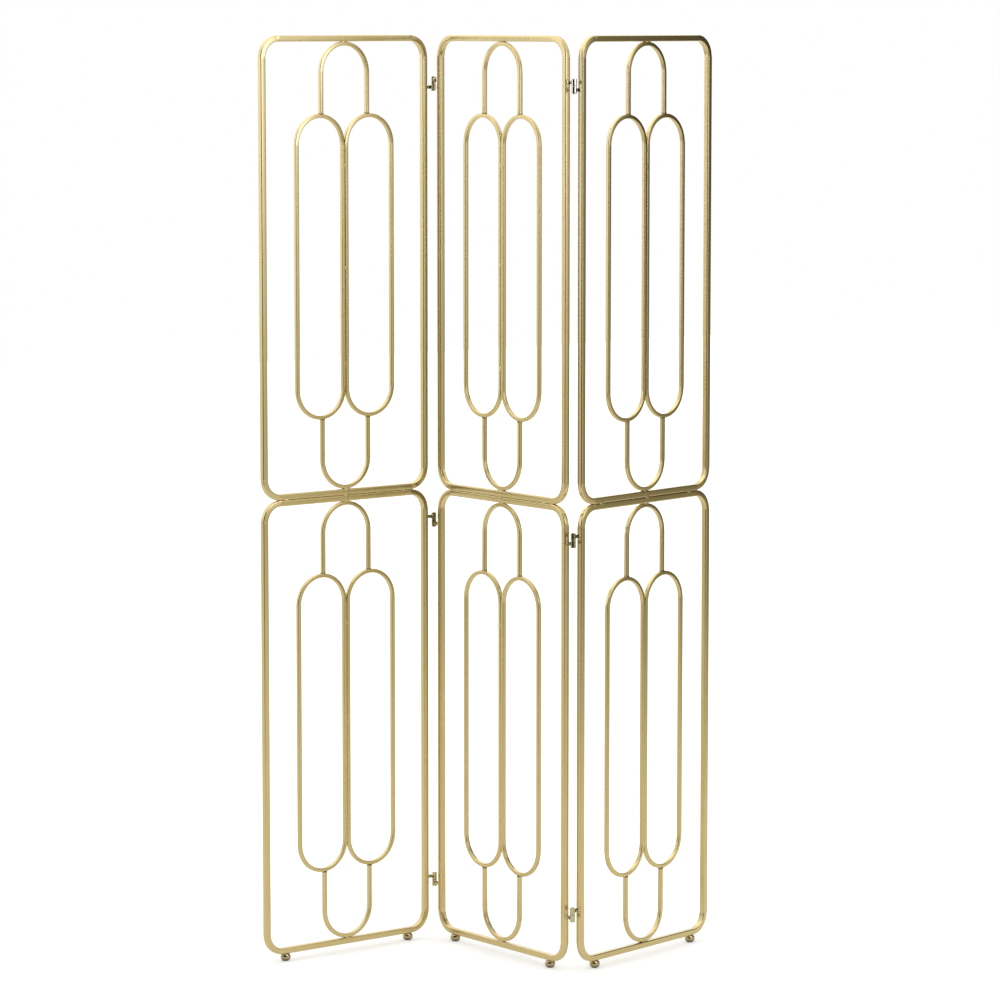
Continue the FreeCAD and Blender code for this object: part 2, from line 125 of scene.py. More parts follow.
class Skin:
    """Collects closed surfaces and makes one mesh of them."""

    def __init__(self):
        self.points = []
        self.corners = []
        self.uvs = []
        self.count = 0

    def add(self, grid, rows_at, columns_at, ring=False):
        """Adds one closed surface.

        The grid has a row for each place along a path and a column for each place round
        the section there, and the columns close on themselves. The rows close too where
        it is a ring. Otherwise each end is closed by a fan to the middle of its last row.
        rows_at and columns_at are distances in metres, which become the map's u and v.
        """
        rows, columns = grid.shape[:2]
        index = self.count + np.arange(rows * columns).reshape(rows, columns)
        index = np.concatenate([index, index[:, :1]], axis=1)
        if ring:
            index = np.concatenate([index, index[:1]], axis=0)
        u, v = np.meshgrid(rows_at, columns_at, indexing="ij")
        uv = np.stack([u, v], axis=-1)
        flat = grid.reshape(-1, 3)
        faces = [np.stack(corners_of(index), axis=-1).reshape(-1, 4)]
        maps = [np.stack(corners_of(uv), axis=2).reshape(-1, 4, 2)]
        self.points.append(flat)
        self.count += len(flat)
        if not ring:
            for row, order in ((0, 1), (rows - 1, -1)):
                middle = grid[row].mean(axis=0)
                self.points.append(middle[None])
                rim = np.stack([index[row, :-1], index[row, 1:]], axis=-1)[:, ::order]
                tip = np.full((columns, 1), self.count)
                faces.append(np.concatenate([tip, rim], axis=1))
                rim_uv = np.stack([uv[row, :-1], uv[row, 1:]], axis=1)[:, ::order]
                tip_uv = rim_uv.mean(axis=1, keepdims=True)
                maps.append(np.concatenate([tip_uv, rim_uv], axis=1))
                self.count += 1
        if self.signed_volume(faces) < 0:
            faces = [face[:, ::-1] for face in faces]
            maps = [corner[:, ::-1] for corner in maps]
        self.corners += faces
        self.uvs += maps

    def signed_volume(self, faces):
        """Six times the volume inside the faces: the sum of each triangle's triple product."""
        points = np.concatenate(self.points)
        total = 0.0
        for face in faces:
            for last in range(2, face.shape[1]):
                a, b, c = (points[face[:, k]] for k in (0, last - 1, last))
                total += np.einsum("ij,ij->", a, np.cross(b, c))
        return total

    def make(self, name, material):
        """Makes the piece, smooth all over, with its map in metres."""
        points = np.concatenate(self.points)
        loops = np.concatenate([face.reshape(-1) for face in self.corners])
        sizes = np.concatenate([np.full(len(face), face.shape[1]) for face in self.corners])
        uv = np.concatenate([corner.reshape(-1, 2) for corner in self.uvs])
        mesh = bpy.data.meshes.new(name)
        mesh.vertices.add(len(points))
        mesh.vertices.foreach_set("co", points.astype(np.float32).reshape(-1))
        mesh.loops.add(len(loops))
        mesh.loops.foreach_set("vertex_index", loops.astype(np.int32))
        mesh.polygons.add(len(sizes))
        starts = np.concatenate([[0], np.cumsum(sizes)[:-1]])
        mesh.polygons.foreach_set("loop_start", starts.astype(np.int32))
        mesh.polygons.foreach_set("use_smooth", np.ones(len(sizes), dtype=bool))
        mesh.update(calc_edges=True)
        layer = mesh.uv_layers.new(name="Metres")
        layer.uv.foreach_set("vector", uv.astype(np.float32).reshape(-1))
        mesh.materials.append(material)
        piece = bpy.data.objects.new(name, mesh)
        bpy.context.scene.collection.objects.link(piece)
        return piece


def corners_of(grid):
    """The four corners of each cell of a grid, in order round the cell."""
    return grid[:-1, :-1], grid[:-1, 1:], grid[1:, 1:], grid[1:, :-1]


def lengths_along(points, closed=False):
    """Distances along a row of points, from 0, with the closing one last where it closes."""
    if closed:
        points = np.concatenate([points, points[:1]])
    steps = np.linalg.norm(np.diff(points, axis=0), axis=1)
    return np.concatenate([[0.0], np.cumsum(steps)])


def metres(millimetres):
    """Lengths in millimetres, as an array in metres."""
    return np.array(millimetres) / 1000


def ease(value):
    """A smooth step from 0 to 1."""
    t = np.clip(value, 0.0, 1.0)
    return t * t * (3 - 2 * t)


def hump(distance, width):
    """A bell curve: 1 at no distance, and about a third at one width."""
    return np.exp(-((distance / width) ** 2))


# Sections and paths

# How finely the tubes and bars are drawn
EDGE_STEPS = 5
TUBE_FACE_STEPS = 8
BAR_FACE_STEPS = 5
TUBE_BEND_STEPS = 30
BAR_ARC_STEPS = 56

# A bent form sets in this far before the bend's start, and is full after this length
BEND_LEAD, BEND_SETTLING = 0.002, 0.006
# The share of the keystone form at the middle of a bent section
KEYSTONE_MIDDLE = 0.3


def square_section(side, radius, crown, face_steps):
    """A square with round edges and slightly swelling faces, as offsets outwards and through.

    Each face is an arc about a far centre, which turns by the crown angle to either side
    of the face's middle. Each edge is an arc of the edge radius that carries on from it.
    """
    c, s = math.cos(crown), math.sin(crown)
    face_radius = (side / 2 + radius * (s - c)) / (1 - c + s)
    inner = (face_radius - radius) * s
    turn = np.linspace(crown, math.pi / 2 - crown, EDGE_STEPS + 1)
    edge = np.stack([inner + radius * np.cos(turn), inner + radius * np.sin(turn)], axis=1)
    turn = math.pi / 2 + crown * np.linspace(-1, 1, face_steps + 2)[1:-1]
    sunk = face_radius - side / 2
    face = np.stack([face_radius * np.cos(turn), face_radius * np.sin(turn) - sunk], axis=1)
    quarter = np.concatenate([edge, face])
    points = []
    for quadrant in range(4):
        c, s = math.cos(quadrant * math.pi / 2), math.sin(quadrant * math.pi / 2)
        points.append(quarter @ np.array([[c, s], [-s, c]]))
    return np.concatenate(points)


def ring_path(half_x, half_z, radius, bend_steps, flat_places):
    """A rectangle with round corners, walked anticlockwise from the end of its first bend.

    Each corner is a quarter circle of the radius about a point that far inside the corner.
    Each straight has points at the distances flat_places(length) from its start. Returns
    the points, their outward normals, and how far each lies inside a bend, from its nearer
    end, in metres, which is below zero on the straights.
    """
    points, normals, depths = [], [], []
    for k in range(4):
        c, s = round(math.cos(k * math.pi / 2)), round(math.sin(k * math.pi / 2))
        spin = np.array([[c, s], [-s, c]])
        out_x, out_z = (half_x, half_z) if k % 2 == 0 else (half_z, half_x)
        turn = np.linspace(0, math.pi / 2, bend_steps + 1)
        normal = np.stack([np.cos(turn), np.sin(turn)], axis=1)
        middle = np.array([out_x - radius, out_z - radius])
        points.append((middle + radius * normal) @ spin)
        normals.append(normal @ spin)
        depths.append(radius * np.minimum(turn, math.pi / 2 - turn))
        length = 2 * (out_x - radius)
        at = flat_places(length)
        straight = np.stack([out_x - radius - at, np.full(len(at), out_z)], axis=1)
        points.append(straight @ spin)
        normals.append(np.tile([0.0, 1.0], (len(at), 1)) @ spin)
        depths.append(-np.minimum(at, length - at))
    return np.concatenate(points), np.concatenate(normals), np.concatenate(depths)


def half_circle():
    """Directions round a half circle, from the right over the top to the left."""
    turn = np.linspace(0, math.pi, BAR_ARC_STEPS + 1)
    return np.stack([np.cos(turn), np.sin(turn)], axis=1)


def swept(path, normals, offsets):
    """Points of a section carried along a path in the panel's plane.

    Each point is the path's point, plus the outward offset along its normal, with the
    offset through the panel as y. Offsets are for all rows, or differ row by row.
    """
    outward = path[:, None, :] + offsets[..., :1] * normals[:, None, :]
    through = np.broadcast_to(offsets[..., 1], outward.shape[:2])
    return np.stack([outward[..., 0], through, outward[..., 1]], axis=-1)


def bend_share(past_start):
    """How far a bend's form has set in, from 0 to 1, at a distance past the bend's start."""
    return ease((past_start + BEND_LEAD) / BEND_SETTLING)


def keystoned(offsets, half_side, amount):
    """A section as bending leaves it: narrower at its outer wall and fuller at its inner one.

    The offset through the panel is multiplied by 1 - amount * (m + (1 - m) out / half side),
    where m is the share of the form at the section's middle.
    """
    way = KEYSTONE_MIDDLE + (1 - KEYSTONE_MIDDLE) * offsets[..., 0] / half_side
    return np.stack([offsets[..., 0], offsets[..., 1] * (1 - amount * way)], axis=-1)


# Finishes: a short way to write nodes, and the effects that more than one material uses


class Tree:
    """Adds nodes to a tree and joins them."""

    def __init__(self, tree):
        self.tree = tree

    def node(self, kind, settings=None, **inputs):
        """Adds a node. Its inputs go by name, or by number as i0, i1 and so on."""
        made = self.tree.nodes.new(kind)
        for name, value in (settings or {}).items():
            setattr(made, name, value)
        for name, value in inputs.items():
            key = int(name[1:]) if name[1:].isdigit() else name.replace("_", " ")
            socket = made.inputs[key]
            if isinstance(value, bpy.types.NodeSocket):
                self.tree.links.new(value, socket)
            else:
                socket.default_value = value
        return made

    def join(self, source, socket):
        self.tree.links.new(source, socket)

    def group(self, name, make_group, **inputs):
        """Places a group, which is made where it is used first, and gives its outputs."""
        group = bpy.data.node_groups.get(name) or make_group(name)
        return self.node("ShaderNodeGroup", {"node_tree": group}, **inputs).outputs

    def surface_map(self):
        return self.node("ShaderNodeUVMap", {"uv_map": "Metres"}).outputs[0]

    def place(self):
        return self.node("ShaderNodeTexCoord").outputs["Object"]

    def parts(self, vector):
        return self.node("ShaderNodeSeparateXYZ", None, i0=vector).outputs

    def vector(self, x, y, z):
        return self.node("ShaderNodeCombineXYZ", None, i0=x, i1=y, i2=z).outputs[0]

    def math(self, operation, a, b=0.0):
        return self.node("ShaderNodeMath", {"operation": operation}, i0=a, i1=b).outputs[0]

    def raised(self, value, mask, share):
        """A value plus a share of a mask."""
        return self.math("ADD", value, self.math("MULTIPLY", mask, share))

    def blend(self, mode, factor, a, b):
        settings = {"data_type": "RGBA", "blend_type": mode}
        return self.node("ShaderNodeMix", settings, i0=factor, i6=a, i7=b).outputs[2]

    def tinted(self, colour, other, mask, share):
        """A colour moved towards another one by a share of a mask."""
        return self.blend("MIX", self.math("MULTIPLY", mask, share), colour, other)

    def remap(self, value, low, high, to_low, to_high):
        """A value carried from one range to another and held at its ends."""
        ranges = {"i1": low, "i2": high, "i3": to_low, "i4": to_high}
        return self.node("ShaderNodeMapRange", None, i0=value, **ranges).outputs[0]

    def spread(self, value, low, high):
        """A value drawn out so that it goes from 0 at low to 1 at high."""
        return self.remap(value, low, high, 0.0, 1.0)

    def by_mask(self, mask, outside, inside):
        """A number that is one outside a mask and another inside it."""
        return self.remap(mask, 0.0, 1.0, outside, inside)

    def ramp(self, value, stops):
        """Colours along a value from 0 to 1, from pairs of a place and a colour."""
        made = self.node("ShaderNodeValToRGB", None, i0=value)
        elements = made.color_ramp.elements
        while len(elements) < len(stops):
            elements.new(1.0)
        for element, (place, colour) in zip(elements, stops):
            element.position = place
            element.color = tuple(colour) + (1.0,)
        return made.outputs[0]

    def noise(self, vector, scale, detail, roughness):
        inputs = {"Vector": vector, "Scale": scale, "Detail": detail, "Roughness": roughness}
        return self.node("ShaderNodeTexNoise", None, **inputs).outputs[0]

    def bump(self, height, strength, distance):
        inputs = {"Strength": strength, "Distance": distance, "Height": height}
        return self.node("ShaderNodeBump", None, **inputs).outputs[0]


NUMBER, VECTOR = "NodeSocketFloat", "NodeSocketVector"
# The part of each noise's range that is drawn out to 0 to 1
GRAIN_RANGE = (0.3, 0.7)
PATCH_RANGE = (0.35, 0.65)
SPECK_RANGE = (0.62, 0.75)
# The noise of the bands reads the grain's places times these shares, and moved aside
BAND_ALONG, BAND_ACROSS, BAND_ASIDE = 0.35, 0.22, 3.0


def new_group(name, inputs, outputs):
    """A node group with named sockets. Returns it, its tree, and what goes in and out."""
    group = bpy.data.node_groups.new(name, "ShaderNodeTree")
    for label, kind, value in inputs:
        socket = group.interface.new_socket(name=label, in_out="INPUT", socket_type=kind)
        if value is not None:
            socket.default_value = value
    for label in outputs:
        group.interface.new_socket(name=label, in_out="OUTPUT", socket_type=NUMBER)
    start = group.nodes.new("NodeGroupInput")
    end = group.nodes.new("NodeGroupOutput")
    return group, Tree(group), start.outputs, end.inputs


def drawn_grain(name):
    """Fine lines along the metal, from noise drawn out along u and pressed together in v."""
    group, tree, given, result = new_group(
        name,
        [("Map", VECTOR, None), ("Lines per metre", NUMBER, 900.0), ("Streak", NUMBER, 9.0)],
        ["Grain", "Bands"],
    )
    parts = tree.parts(given["Map"])
    along = tree.math("MULTIPLY", parts[0], given["Streak"])
    across = tree.math("MULTIPLY", parts[1], given["Lines per metre"])
    grain = tree.noise(tree.vector(along, across, 0.0), scale=1.0, detail=3.0, roughness=0.6)
    wide_across = tree.math("MULTIPLY", across, BAND_ACROSS)
    wide_along = tree.math("MULTIPLY", along, BAND_ALONG)
    wide = tree.vector(wide_along, wide_across, BAND_ASIDE)
    bands = tree.noise(wide, scale=1.0, detail=2.0, roughness=0.5)
    tree.join(tree.spread(grain, *GRAIN_RANGE), result["Grain"])
    tree.join(tree.spread(bands, *GRAIN_RANGE), result["Bands"])
    return group


def plating_tone(name):
    """Soft patches where the plating is a little warmer or paler, and small dull specks."""
    group, tree, given, result = new_group(
        name,
        [("Place", VECTOR, None), ("Patch size", NUMBER, 0.12), ("Speck size", NUMBER, 0.004)],
        ["Patches", "Specks"],
    )
    patch_scale = tree.math("DIVIDE", 1.0, given["Patch size"])
    speck_scale = tree.math("DIVIDE", 1.0, given["Speck size"])
    patches = tree.noise(given["Place"], patch_scale, detail=3.0, roughness=0.55)
    specks = tree.noise(given["Place"], speck_scale, detail=2.0, roughness=0.6)
    tree.join(tree.spread(patches, *PATCH_RANGE), result["Patches"])
    tree.join(tree.spread(specks, *SPECK_RANGE), result["Specks"])
    return group


def new_material(name):
    """A new material, its tree and its shader."""
    material = bpy.data.materials.new(name)
    material.use_nodes = True
    return material, Tree(material.node_tree), material.node_tree.nodes["Principled BSDF"]


def shade(colour, factor):
    """A colour times a factor for each channel, at most 1, with its alpha."""
    return tuple(min(1.0, c * f) for c, f in zip(colour, factor)) + (1.0,)


def join_finish(tree, shader, colour, rough, normal, metallic=1.0):
    """Joins a finish to its shader, as metal unless it is told otherwise."""
    tree.join(colour, shader.inputs["Base Color"])
    tree.join(rough, shader.inputs["Roughness"])
    tree.join(normal, shader.inputs["Normal"])
    shader.inputs["Metallic"].default_value = metallic


# How finely the tubes and bars are brushed: lines in a metre across them, and streaks in a
# metre along them
TUBE_BRUSHING = (1400.0, 9.0)
BAR_BRUSHING = (1700.0, 12.0)
# The brushed shine is drawn out by this much, and its direction turned by a quarter
BRUSHED_SPREAD, BRUSHED_TURN = 0.3, 0.25
# Marks, each as two places and its strength at both. The places are heights, and for a leg
# they are distances from its end
LEG_TINT = (0.0011, 0.0034, 0.65, 0.0)
# The caps' painted shade towards the floor
CAP_FLOOR_SHADE = (0.0035, 0.0085, 0.62, 0.0)
# Painted shade in the necks' hollows, stronger higher up
NECK_SHADE_BY_HEIGHT = (0.2, 1.5, 0.35, 0.97)
PAD_DUSTING = (0.0, 0.0012, 0.35, 0.0)
# Where along a neck its painted shade starts, is full, starts to fade and has faded
NECK_SHADE_SPAN = (0.0032, 0.0048, 0.0092, 0.0112)
# Painted shade on the polished pieces, darker low down and darkest at the middle height, none at the top: pairs of
# a share of the height and a colour factor
HARDWARE_HEIGHT_SHADE = (
    (0.0, (0.78, 0.68, 0.49)),
    (0.03, (0.78, 0.68, 0.49)),
    (0.045, (0.81, 0.77, 0.56)),
    (0.20, (0.81, 0.77, 0.56)),
    (0.35, (0.60, 0.57, 0.42)),
    (0.65, (0.60, 0.57, 0.42)),
    (0.80, (1.0, 1.0, 1.0)),
)


def satin_brass(name, lines, streak):
    """Brass plating brushed along the tube: the grain moves its colour, gloss and bump.

    The ends of the arches' legs keep a dark tint from their welds.
    """
    finish = bpy.context.scene.divider_finish
    base = tuple(finish.satin_colour)
    dull_patch, pale_patch = shade(base, (0.97, 0.95, 0.90)), shade(base, (1.02, 1.02, 1.05))
    dark_band, bright_line = shade(base, (0.93, 0.91, 0.86)), shade(base, (1.08, 1.09, 1.12))
    brown_speck, burnt = shade(base, (0.72, 0.66, 0.55)), shade(base, (0.20, 0.15, 0.10))
    material, tree, shader = new_material(name)
    surface_map = tree.surface_map()
    along = tree.parts(surface_map)[0]
    inputs = {"Map": surface_map, "Lines_per_metre": lines, "Streak": streak}
    grain = tree.group("Drawn grain", drawn_grain, **inputs)
    tone = tree.group("Plating tone", plating_tone, Place=tree.place())
    patchy = tree.blend("MIX", tone["Patches"], dull_patch, pale_patch)
    banded = tree.tinted(patchy, dark_band, grain["Bands"], share=0.35)
    lined = tree.tinted(banded, bright_line, grain["Grain"], share=0.14)
    specked = tree.tinted(lined, brown_speck, tone["Specks"], share=0.06)
    start, end, full, none = LEG_TINT
    near_end = tree.remap(along, ARCH_MAP_START + start, ARCH_MAP_START + end, full, none)
    on_arch = tree.math("GREATER_THAN", along, ARCH_MAP_START / 2)
    colour = tree.tinted(specked, burnt, near_end, share=on_arch)
    gloss = finish.satin_roughness
    rough = tree.by_mask(grain["Grain"], outside=gloss - 0.02, inside=gloss + 0.03)
    rougher = tree.raised(rough, tone["Specks"], share=0.03)
    height = tree.raised(grain["Grain"], grain["Bands"], share=0.8)
    bump = tree.bump(height, strength=0.022, distance=0.00004)
    join_finish(tree, shader, colour, rougher, bump)
    settings = {"direction_type": "UV_MAP", "uv_map": "Metres"}
    tangent = tree.node("ShaderNodeTangent", settings).outputs[0]
    tree.join(tangent, shader.inputs["Tangent"])
    shader.inputs["Anisotropic"].default_value = BRUSHED_SPREAD
    shader.inputs["Anisotropic Rotation"].default_value = BRUSHED_TURN
    return material


def weld_brass(name):
    """Plated weld metal: the tube's brass with a coarser, frozen-ripple surface."""
    finish = bpy.context.scene.divider_finish
    base = tuple(finish.satin_colour)
    dull_patch, pale_patch = shade(base, (0.84, 0.80, 0.72)), shade(base, (1.06, 1.07, 1.10))
    material, tree, shader = new_material(name)
    inputs = {"Place": tree.place(), "Patch_size": 0.006, "Speck_size": 0.0012}
    tone = tree.group("Plating tone", plating_tone, **inputs)
    colour = tree.blend("MIX", tone["Patches"], dull_patch, pale_patch)
    gloss = finish.satin_roughness
    rough = tree.by_mask(tone["Patches"], outside=gloss + 0.06, inside=gloss - 0.08)
    height = tree.math("ADD", tone["Patches"], tone["Specks"])
    bump = tree.bump(height, strength=0.35, distance=0.0003)
    join_finish(tree, shader, colour, rough, bump)
    return material


def turned_brass(name):
    """Turned and polished brass, with faint lathe lines, smudges and a few dull specks.

    Painted shade darkens it by the height, painted shade darkens the caps towards the floor,
    and the hollows of the necks carry near black painted shade, more so higher up.
    """
    finish = bpy.context.scene.divider_finish
    base = tuple(finish.polished_colour)
    dull_patch, pale_patch = shade(base, (0.90, 0.88, 0.82)), shade(base, (1.04, 1.04, 1.05))
    # The dull colour is the painted shade of the caps near the floor
    lathe_line, dull = shade(base, (0.78, 0.76, 0.70)), shade(base, (0.27, 0.23, 0.17))
    # The near black colour is painted shade for the hollows of the necks
    black = shade(base, (0.025, 0.022, 0.018))
    material, tree, shader = new_material(name)
    surface_map = tree.surface_map()
    along = tree.parts(surface_map)[0]
    inputs = {"Map": surface_map, "Lines_per_metre": 60.0, "Streak": 2600.0}
    grain = tree.group("Drawn grain", drawn_grain, **inputs)
    place = tree.place()
    height = tree.parts(place)[2]
    inputs = {"Place": place, "Patch_size": 0.011, "Speck_size": 0.0009}
    tone = tree.group("Plating tone", plating_tone, **inputs)
    smudged = tree.blend("MIX", tone["Patches"], dull_patch, pale_patch)
    lined = tree.tinted(smudged, lathe_line, grain["Grain"], share=0.12)
    # Painted shade: the polished colour is darkened by the height
    height_shade = tree.ramp(tree.math("DIVIDE", height, DIVIDER_HEIGHT), HARDWARE_HEIGHT_SHADE)
    height_shaded = tree.blend("MULTIPLY", 1.0, lined, height_shade)
    # Painted shade: the caps are darkened towards the floor
    floor_shaded = tree.blend("MIX", tree.remap(height, *CAP_FLOOR_SHADE), height_shaded, dull)
    start, full, fading, faded = (NECK_MAP_START + way for way in NECK_SHADE_SPAN)
    begun = tree.spread(along, start, full)
    unfaded = tree.remap(along, fading, faded, 1.0, 0.0)
    hollow = tree.math("MULTIPLY", begun, unfaded)
    neck_shade_strength = tree.remap(height, *NECK_SHADE_BY_HEIGHT)
    # Painted shade: the hollows of the necks are darkened nearly to black, more so higher up
    colour = tree.tinted(floor_shaded, black, hollow, share=neck_shade_strength)
    gloss = finish.polished_roughness
    rough = tree.by_mask(tone["Patches"], outside=gloss + 0.03, inside=gloss)
    rougher = tree.raised(rough, tone["Specks"], share=0.06)
    bump = tree.bump(grain["Grain"], strength=0.06, distance=0.00002)
    join_finish(tree, shader, colour, rougher, bump)
    return material


def pad_plastic(name):
    """Moulded black plastic with a fine matt grain and pale dust towards the floor."""
    finish = bpy.context.scene.divider_finish
    plastic, dust = (*finish.pad_colour, 1.0), (0.16, 0.155, 0.145, 1.0)
    material, tree, shader = new_material(name)
    place = tree.place()
    inputs = {"Place": place, "Patch_size": 0.004, "Speck_size": 0.0005}
    tone = tree.group("Plating tone", plating_tone, **inputs)
    near_floor = tree.remap(tree.parts(place)[2], *PAD_DUSTING)
    colour = tree.tinted(plastic, dust, near_floor, share=tone["Patches"])
    rough = tree.by_mask(tone["Specks"], outside=0.55, inside=0.75)
    bump = tree.bump(tone["Specks"], strength=0.3, distance=0.00005)
    join_finish(tree, shader, colour, rough, bump, metallic=0.0)
    return material


def zinc_steel(name):
    """Zinc plated steel with a mottled bluish bloom."""
    base = tuple(bpy.context.scene.divider_finish.steel_colour)
    blue_patch, pale_patch = shade(base, (0.86, 0.88, 0.94)), shade(base, (1.05, 1.04, 1.0))
    material, tree, shader = new_material(name)
    inputs = {"Place": tree.place(), "Patch_size": 0.003, "Speck_size": 0.0006}
    tone = tree.group("Plating tone", plating_tone, **inputs)
    colour = tree.blend("MIX", tone["Patches"], blue_patch, pale_patch)
    rough = tree.by_mask(tone["Patches"], outside=0.42, inside=0.28)
    bump = tree.bump(tone["Specks"], strength=0.15, distance=0.00004)
    join_finish(tree, shader, colour, rough, bump)
    return material


MATERIALS = {
    "tube_satin_brass": lambda name: satin_brass(name, *TUBE_BRUSHING),
    "bar_satin_brass": lambda name: satin_brass(name, *BAR_BRUSHING),
    "plated_weld": weld_brass,
    "turned_brass": turned_brass,
    "pad_plastic": pad_plastic,
    "zinc_steel": zinc_steel,
}


def material_of(name):
    """The material of a name, which is made where it is used first."""
    return bpy.data.materials.get(name) or MATERIALS[name](name)


# Frames of bent square tube

# Rows of points on a straight, in millimetres from its ends and from its middle
TUBE_END_ROWS = (1.0, 2.2, 3.6, 5.5, 8.0, 12.0, 20.0, 40.0)
TUBE_MIDDLE_ROWS = (0.0, 0.6, 1.2, 1.9, 2.8, 4.0, 8.0, 30.0)

# The marks of a bend. Shares of half the tube's side bound the walls that they are on
WRINKLE_PITCHES = (0.0071, 0.0113, 0.0047)
PINCH_PLACE, PINCH_WIDTH = 0.0015, 0.0028
INNER_WALL_FROM, INNER_WALL_BLEND = 0.55, 0.4
BULGE_BELOW, BULGE_BLEND = 0.3, 0.6
BULGE_OF_DENT = 0.125
RING_SEED, SIDE_SEED_STEP, HALF_SEED_STEP = 11, 3, 17

# The ring's closing weld: its width, and how high and how close together its lumps are
CLOSING_WELD_WIDTH = 0.0016
LUMP_SHARE, LUMP_TURN = 0.35, 1.9

# Past these shares of half the tube's side, a point is on the inner or outer wall, or on a side
WALL_POINTS_FROM, SIDE_POINTS_FROM = 0.7, 0.85


def tube_flat_places(length):
    """Places along a straight: close near its ends and its middle, and few between."""
    ends, middle = metres(TUBE_END_ROWS), metres(TUBE_MIDDLE_ROWS)
    places = [ends, length - ends, length / 2 + middle, length / 2 - middle]
    return np.unique(np.round(np.concatenate(places), 6))


def bend_marks(path, depth, section, phases, sizes):
    """How far bending moves a tube's section: the inner wall's lift and the sides' bulge.

    The inner wall sinks by the dent times (1 - y^2)^2 with low wrinkles along it, where y
    goes from 0 at the wall's middle to 1 at its edges. Where a bend starts, the edges are
    pinched by a bell curve times y^6. The sides bulge by a share of the dent.
    """
    outward = section[:, 0] / (TUBE_SIDE / 2)
    y = np.clip(np.abs(section[:, 1]) / (TUBE_SIDE / 2), 0, 1)
    length = lengths_along(path)
    wrinkles = sum(
        np.sin(length * 2 * math.pi / pitch + phase)
        for pitch, phase in zip(WRINKLE_PITCHES, phases)
    )
    in_bend = bend_share(depth)
    dent = in_bend * (sizes.bend_dent + sizes.bend_wrinkle * wrinkles)
    pinch = sizes.bend_pinch * hump(depth - PINCH_PLACE, PINCH_WIDTH)
    inner_wall = ease((-outward - INNER_WALL_FROM) / INNER_WALL_BLEND)
    lift = (dent[:, None] * (1 - y**2) ** 2 + pinch[:, None] * y**6) * inner_wall
    on_sides = ease((BULGE_BELOW - outward) / BULGE_BLEND)
    return lift, BULGE_OF_DENT * sizes.bend_dent * in_bend[:, None] * on_sides


def closing_weld(path, half, columns, phase, sizes):
    """How far a ring's closing weld rises: a bell curve along the rail, with lumps round it.

    It is at the middle of the rail that meets the other frame.
    """
    rail_height = -FRAME_HEIGHT / 2 if half == "upper" else FRAME_HEIGHT / 2
    on_rail = np.abs(path[:, 1] - rail_height) < TUBE_SIDE
    band = sizes.closing_weld_rise * hump(path[:, 0], CLOSING_WELD_WIDTH) * on_rail
    return band[:, None] * (1 + LUMP_SHARE * np.sin(np.arange(columns) * LUMP_TURN + phase))


def tube_ring(side, half, sizes):
    """The outside of one bent square tube, closed into a ring.

    A round-edged square is swept round the frame's line, with the marks of its bends and
    of its closing weld, and takes the keystone form in the bends.
    """
    low, high = box(f"{side}_panel_{half}_frame")
    half_side = TUBE_SIDE / 2
    path, normals, depth = ring_path(
        PANEL_WIDTH / 2 - half_side,
        FRAME_HEIGHT / 2 - half_side,
        sizes.bend_radius - half_side,
        TUBE_BEND_STEPS,
        tube_flat_places,
    )
    section = square_section(
        TUBE_SIDE, sizes.tube_edge_radius, sizes.face_crown, TUBE_FACE_STEPS
    )
    out, through = section[:, 0], section[:, 1]
    ring_number = SIDE_SEED_STEP * SIDES.index(side) + HALF_SEED_STEP * HALVES.index(half)
    rng = np.random.default_rng(RING_SEED + ring_number)
    phases = rng.uniform(0, 2 * math.pi, len(WRINKLE_PITCHES))
    lift, bulge = bend_marks(path, depth, section, phases, sizes)
    swell = closing_weld(path, half, len(section), phases[0], sizes)
    on_wall = np.sign(out) * (np.abs(out) > half_side * WALL_POINTS_FROM)
    on_side = np.sign(through) * (np.abs(through) > half_side * SIDE_POINTS_FROM)
    outward = out + lift + swell * on_wall
    sideways = through + (bulge + swell) * on_side
    offsets = np.stack([outward, sideways], axis=-1)
    offsets = keystoned(offsets, half_side, sizes.bend_keystone * bend_share(depth)[:, None])
    points = swept(path, normals, offsets)
    points[..., 2] += (low[2] + high[2]) / 2
    return points, lengths_along(path, closed=True), lengths_along(section, closed=True)


# Loops and arches of bent square bar

# Rows of points in millimetres: from the ends of a loop's straight, and from a leg's end,
# where those that come too near the arch are left out
LOOP_END_ROWS = (2.0, 6.0, 20.0, 60.0)
LEG_END_ROWS = (0.0, 0.5, 1.0, 1.6, 2.3, 3.2, 4.5, 7.0, 12.0, 24.0)
LEG_ROWS_SHARE = 0.9

BAR_LINE_RADIUS = LOOP_WIDTH / 2 - BAR_SIDE / 2


def bar_section(sizes):
    """The section of the square bar."""
    return square_section(BAR_SIDE, sizes.bar_edge_radius, sizes.face_crown, BAR_FACE_STEPS)


def loop_flat_places(length):
    """Places along a loop's straight: a few near each end, and its middle."""
    ends = metres(LOOP_END_ROWS)
    return np.concatenate([ends, [length / 2], (length - ends)[::-1]])


def loop_ring(side, half, name, sizes):
    """A tall closed loop: two straights joined by half circles, swept with the bar's section."""
    low, high = box(f"{side}_panel_{half}_{name}_loop")
    straight = LOOP_HEIGHT - LOOP_WIDTH
    flat = loop_flat_places(straight)
    arc = half_circle()
    top = BAR_LINE_RADIUS * arc + (0.0, straight / 2)
    down = np.stack([np.full(len(flat), -BAR_LINE_RADIUS), straight / 2 - flat], axis=1)
    path = np.concatenate([top, down, -top, -down])
    leftward = np.tile([-1.0, 0.0], (len(flat), 1))
    normals = np.concatenate([arc, leftward, -arc, -leftward])
    section = bar_section(sizes)
    in_arc = bend_share(np.abs(path[:, 1]) - straight / 2)
    offsets = np.broadcast_to(section, (len(path), *section.shape))
    offsets = keystoned(offsets, BAR_SIDE / 2, sizes.bend_keystone * in_arc[:, None])
    points = swept(path, normals, offsets)
    points[..., 0] += (-1 if name == "left" else 1) * LOOP_WIDTH / 2
    points[..., 2] += (low[2] + high[2]) / 2
    return points, lengths_along(path, closed=True), lengths_along(section, closed=True)


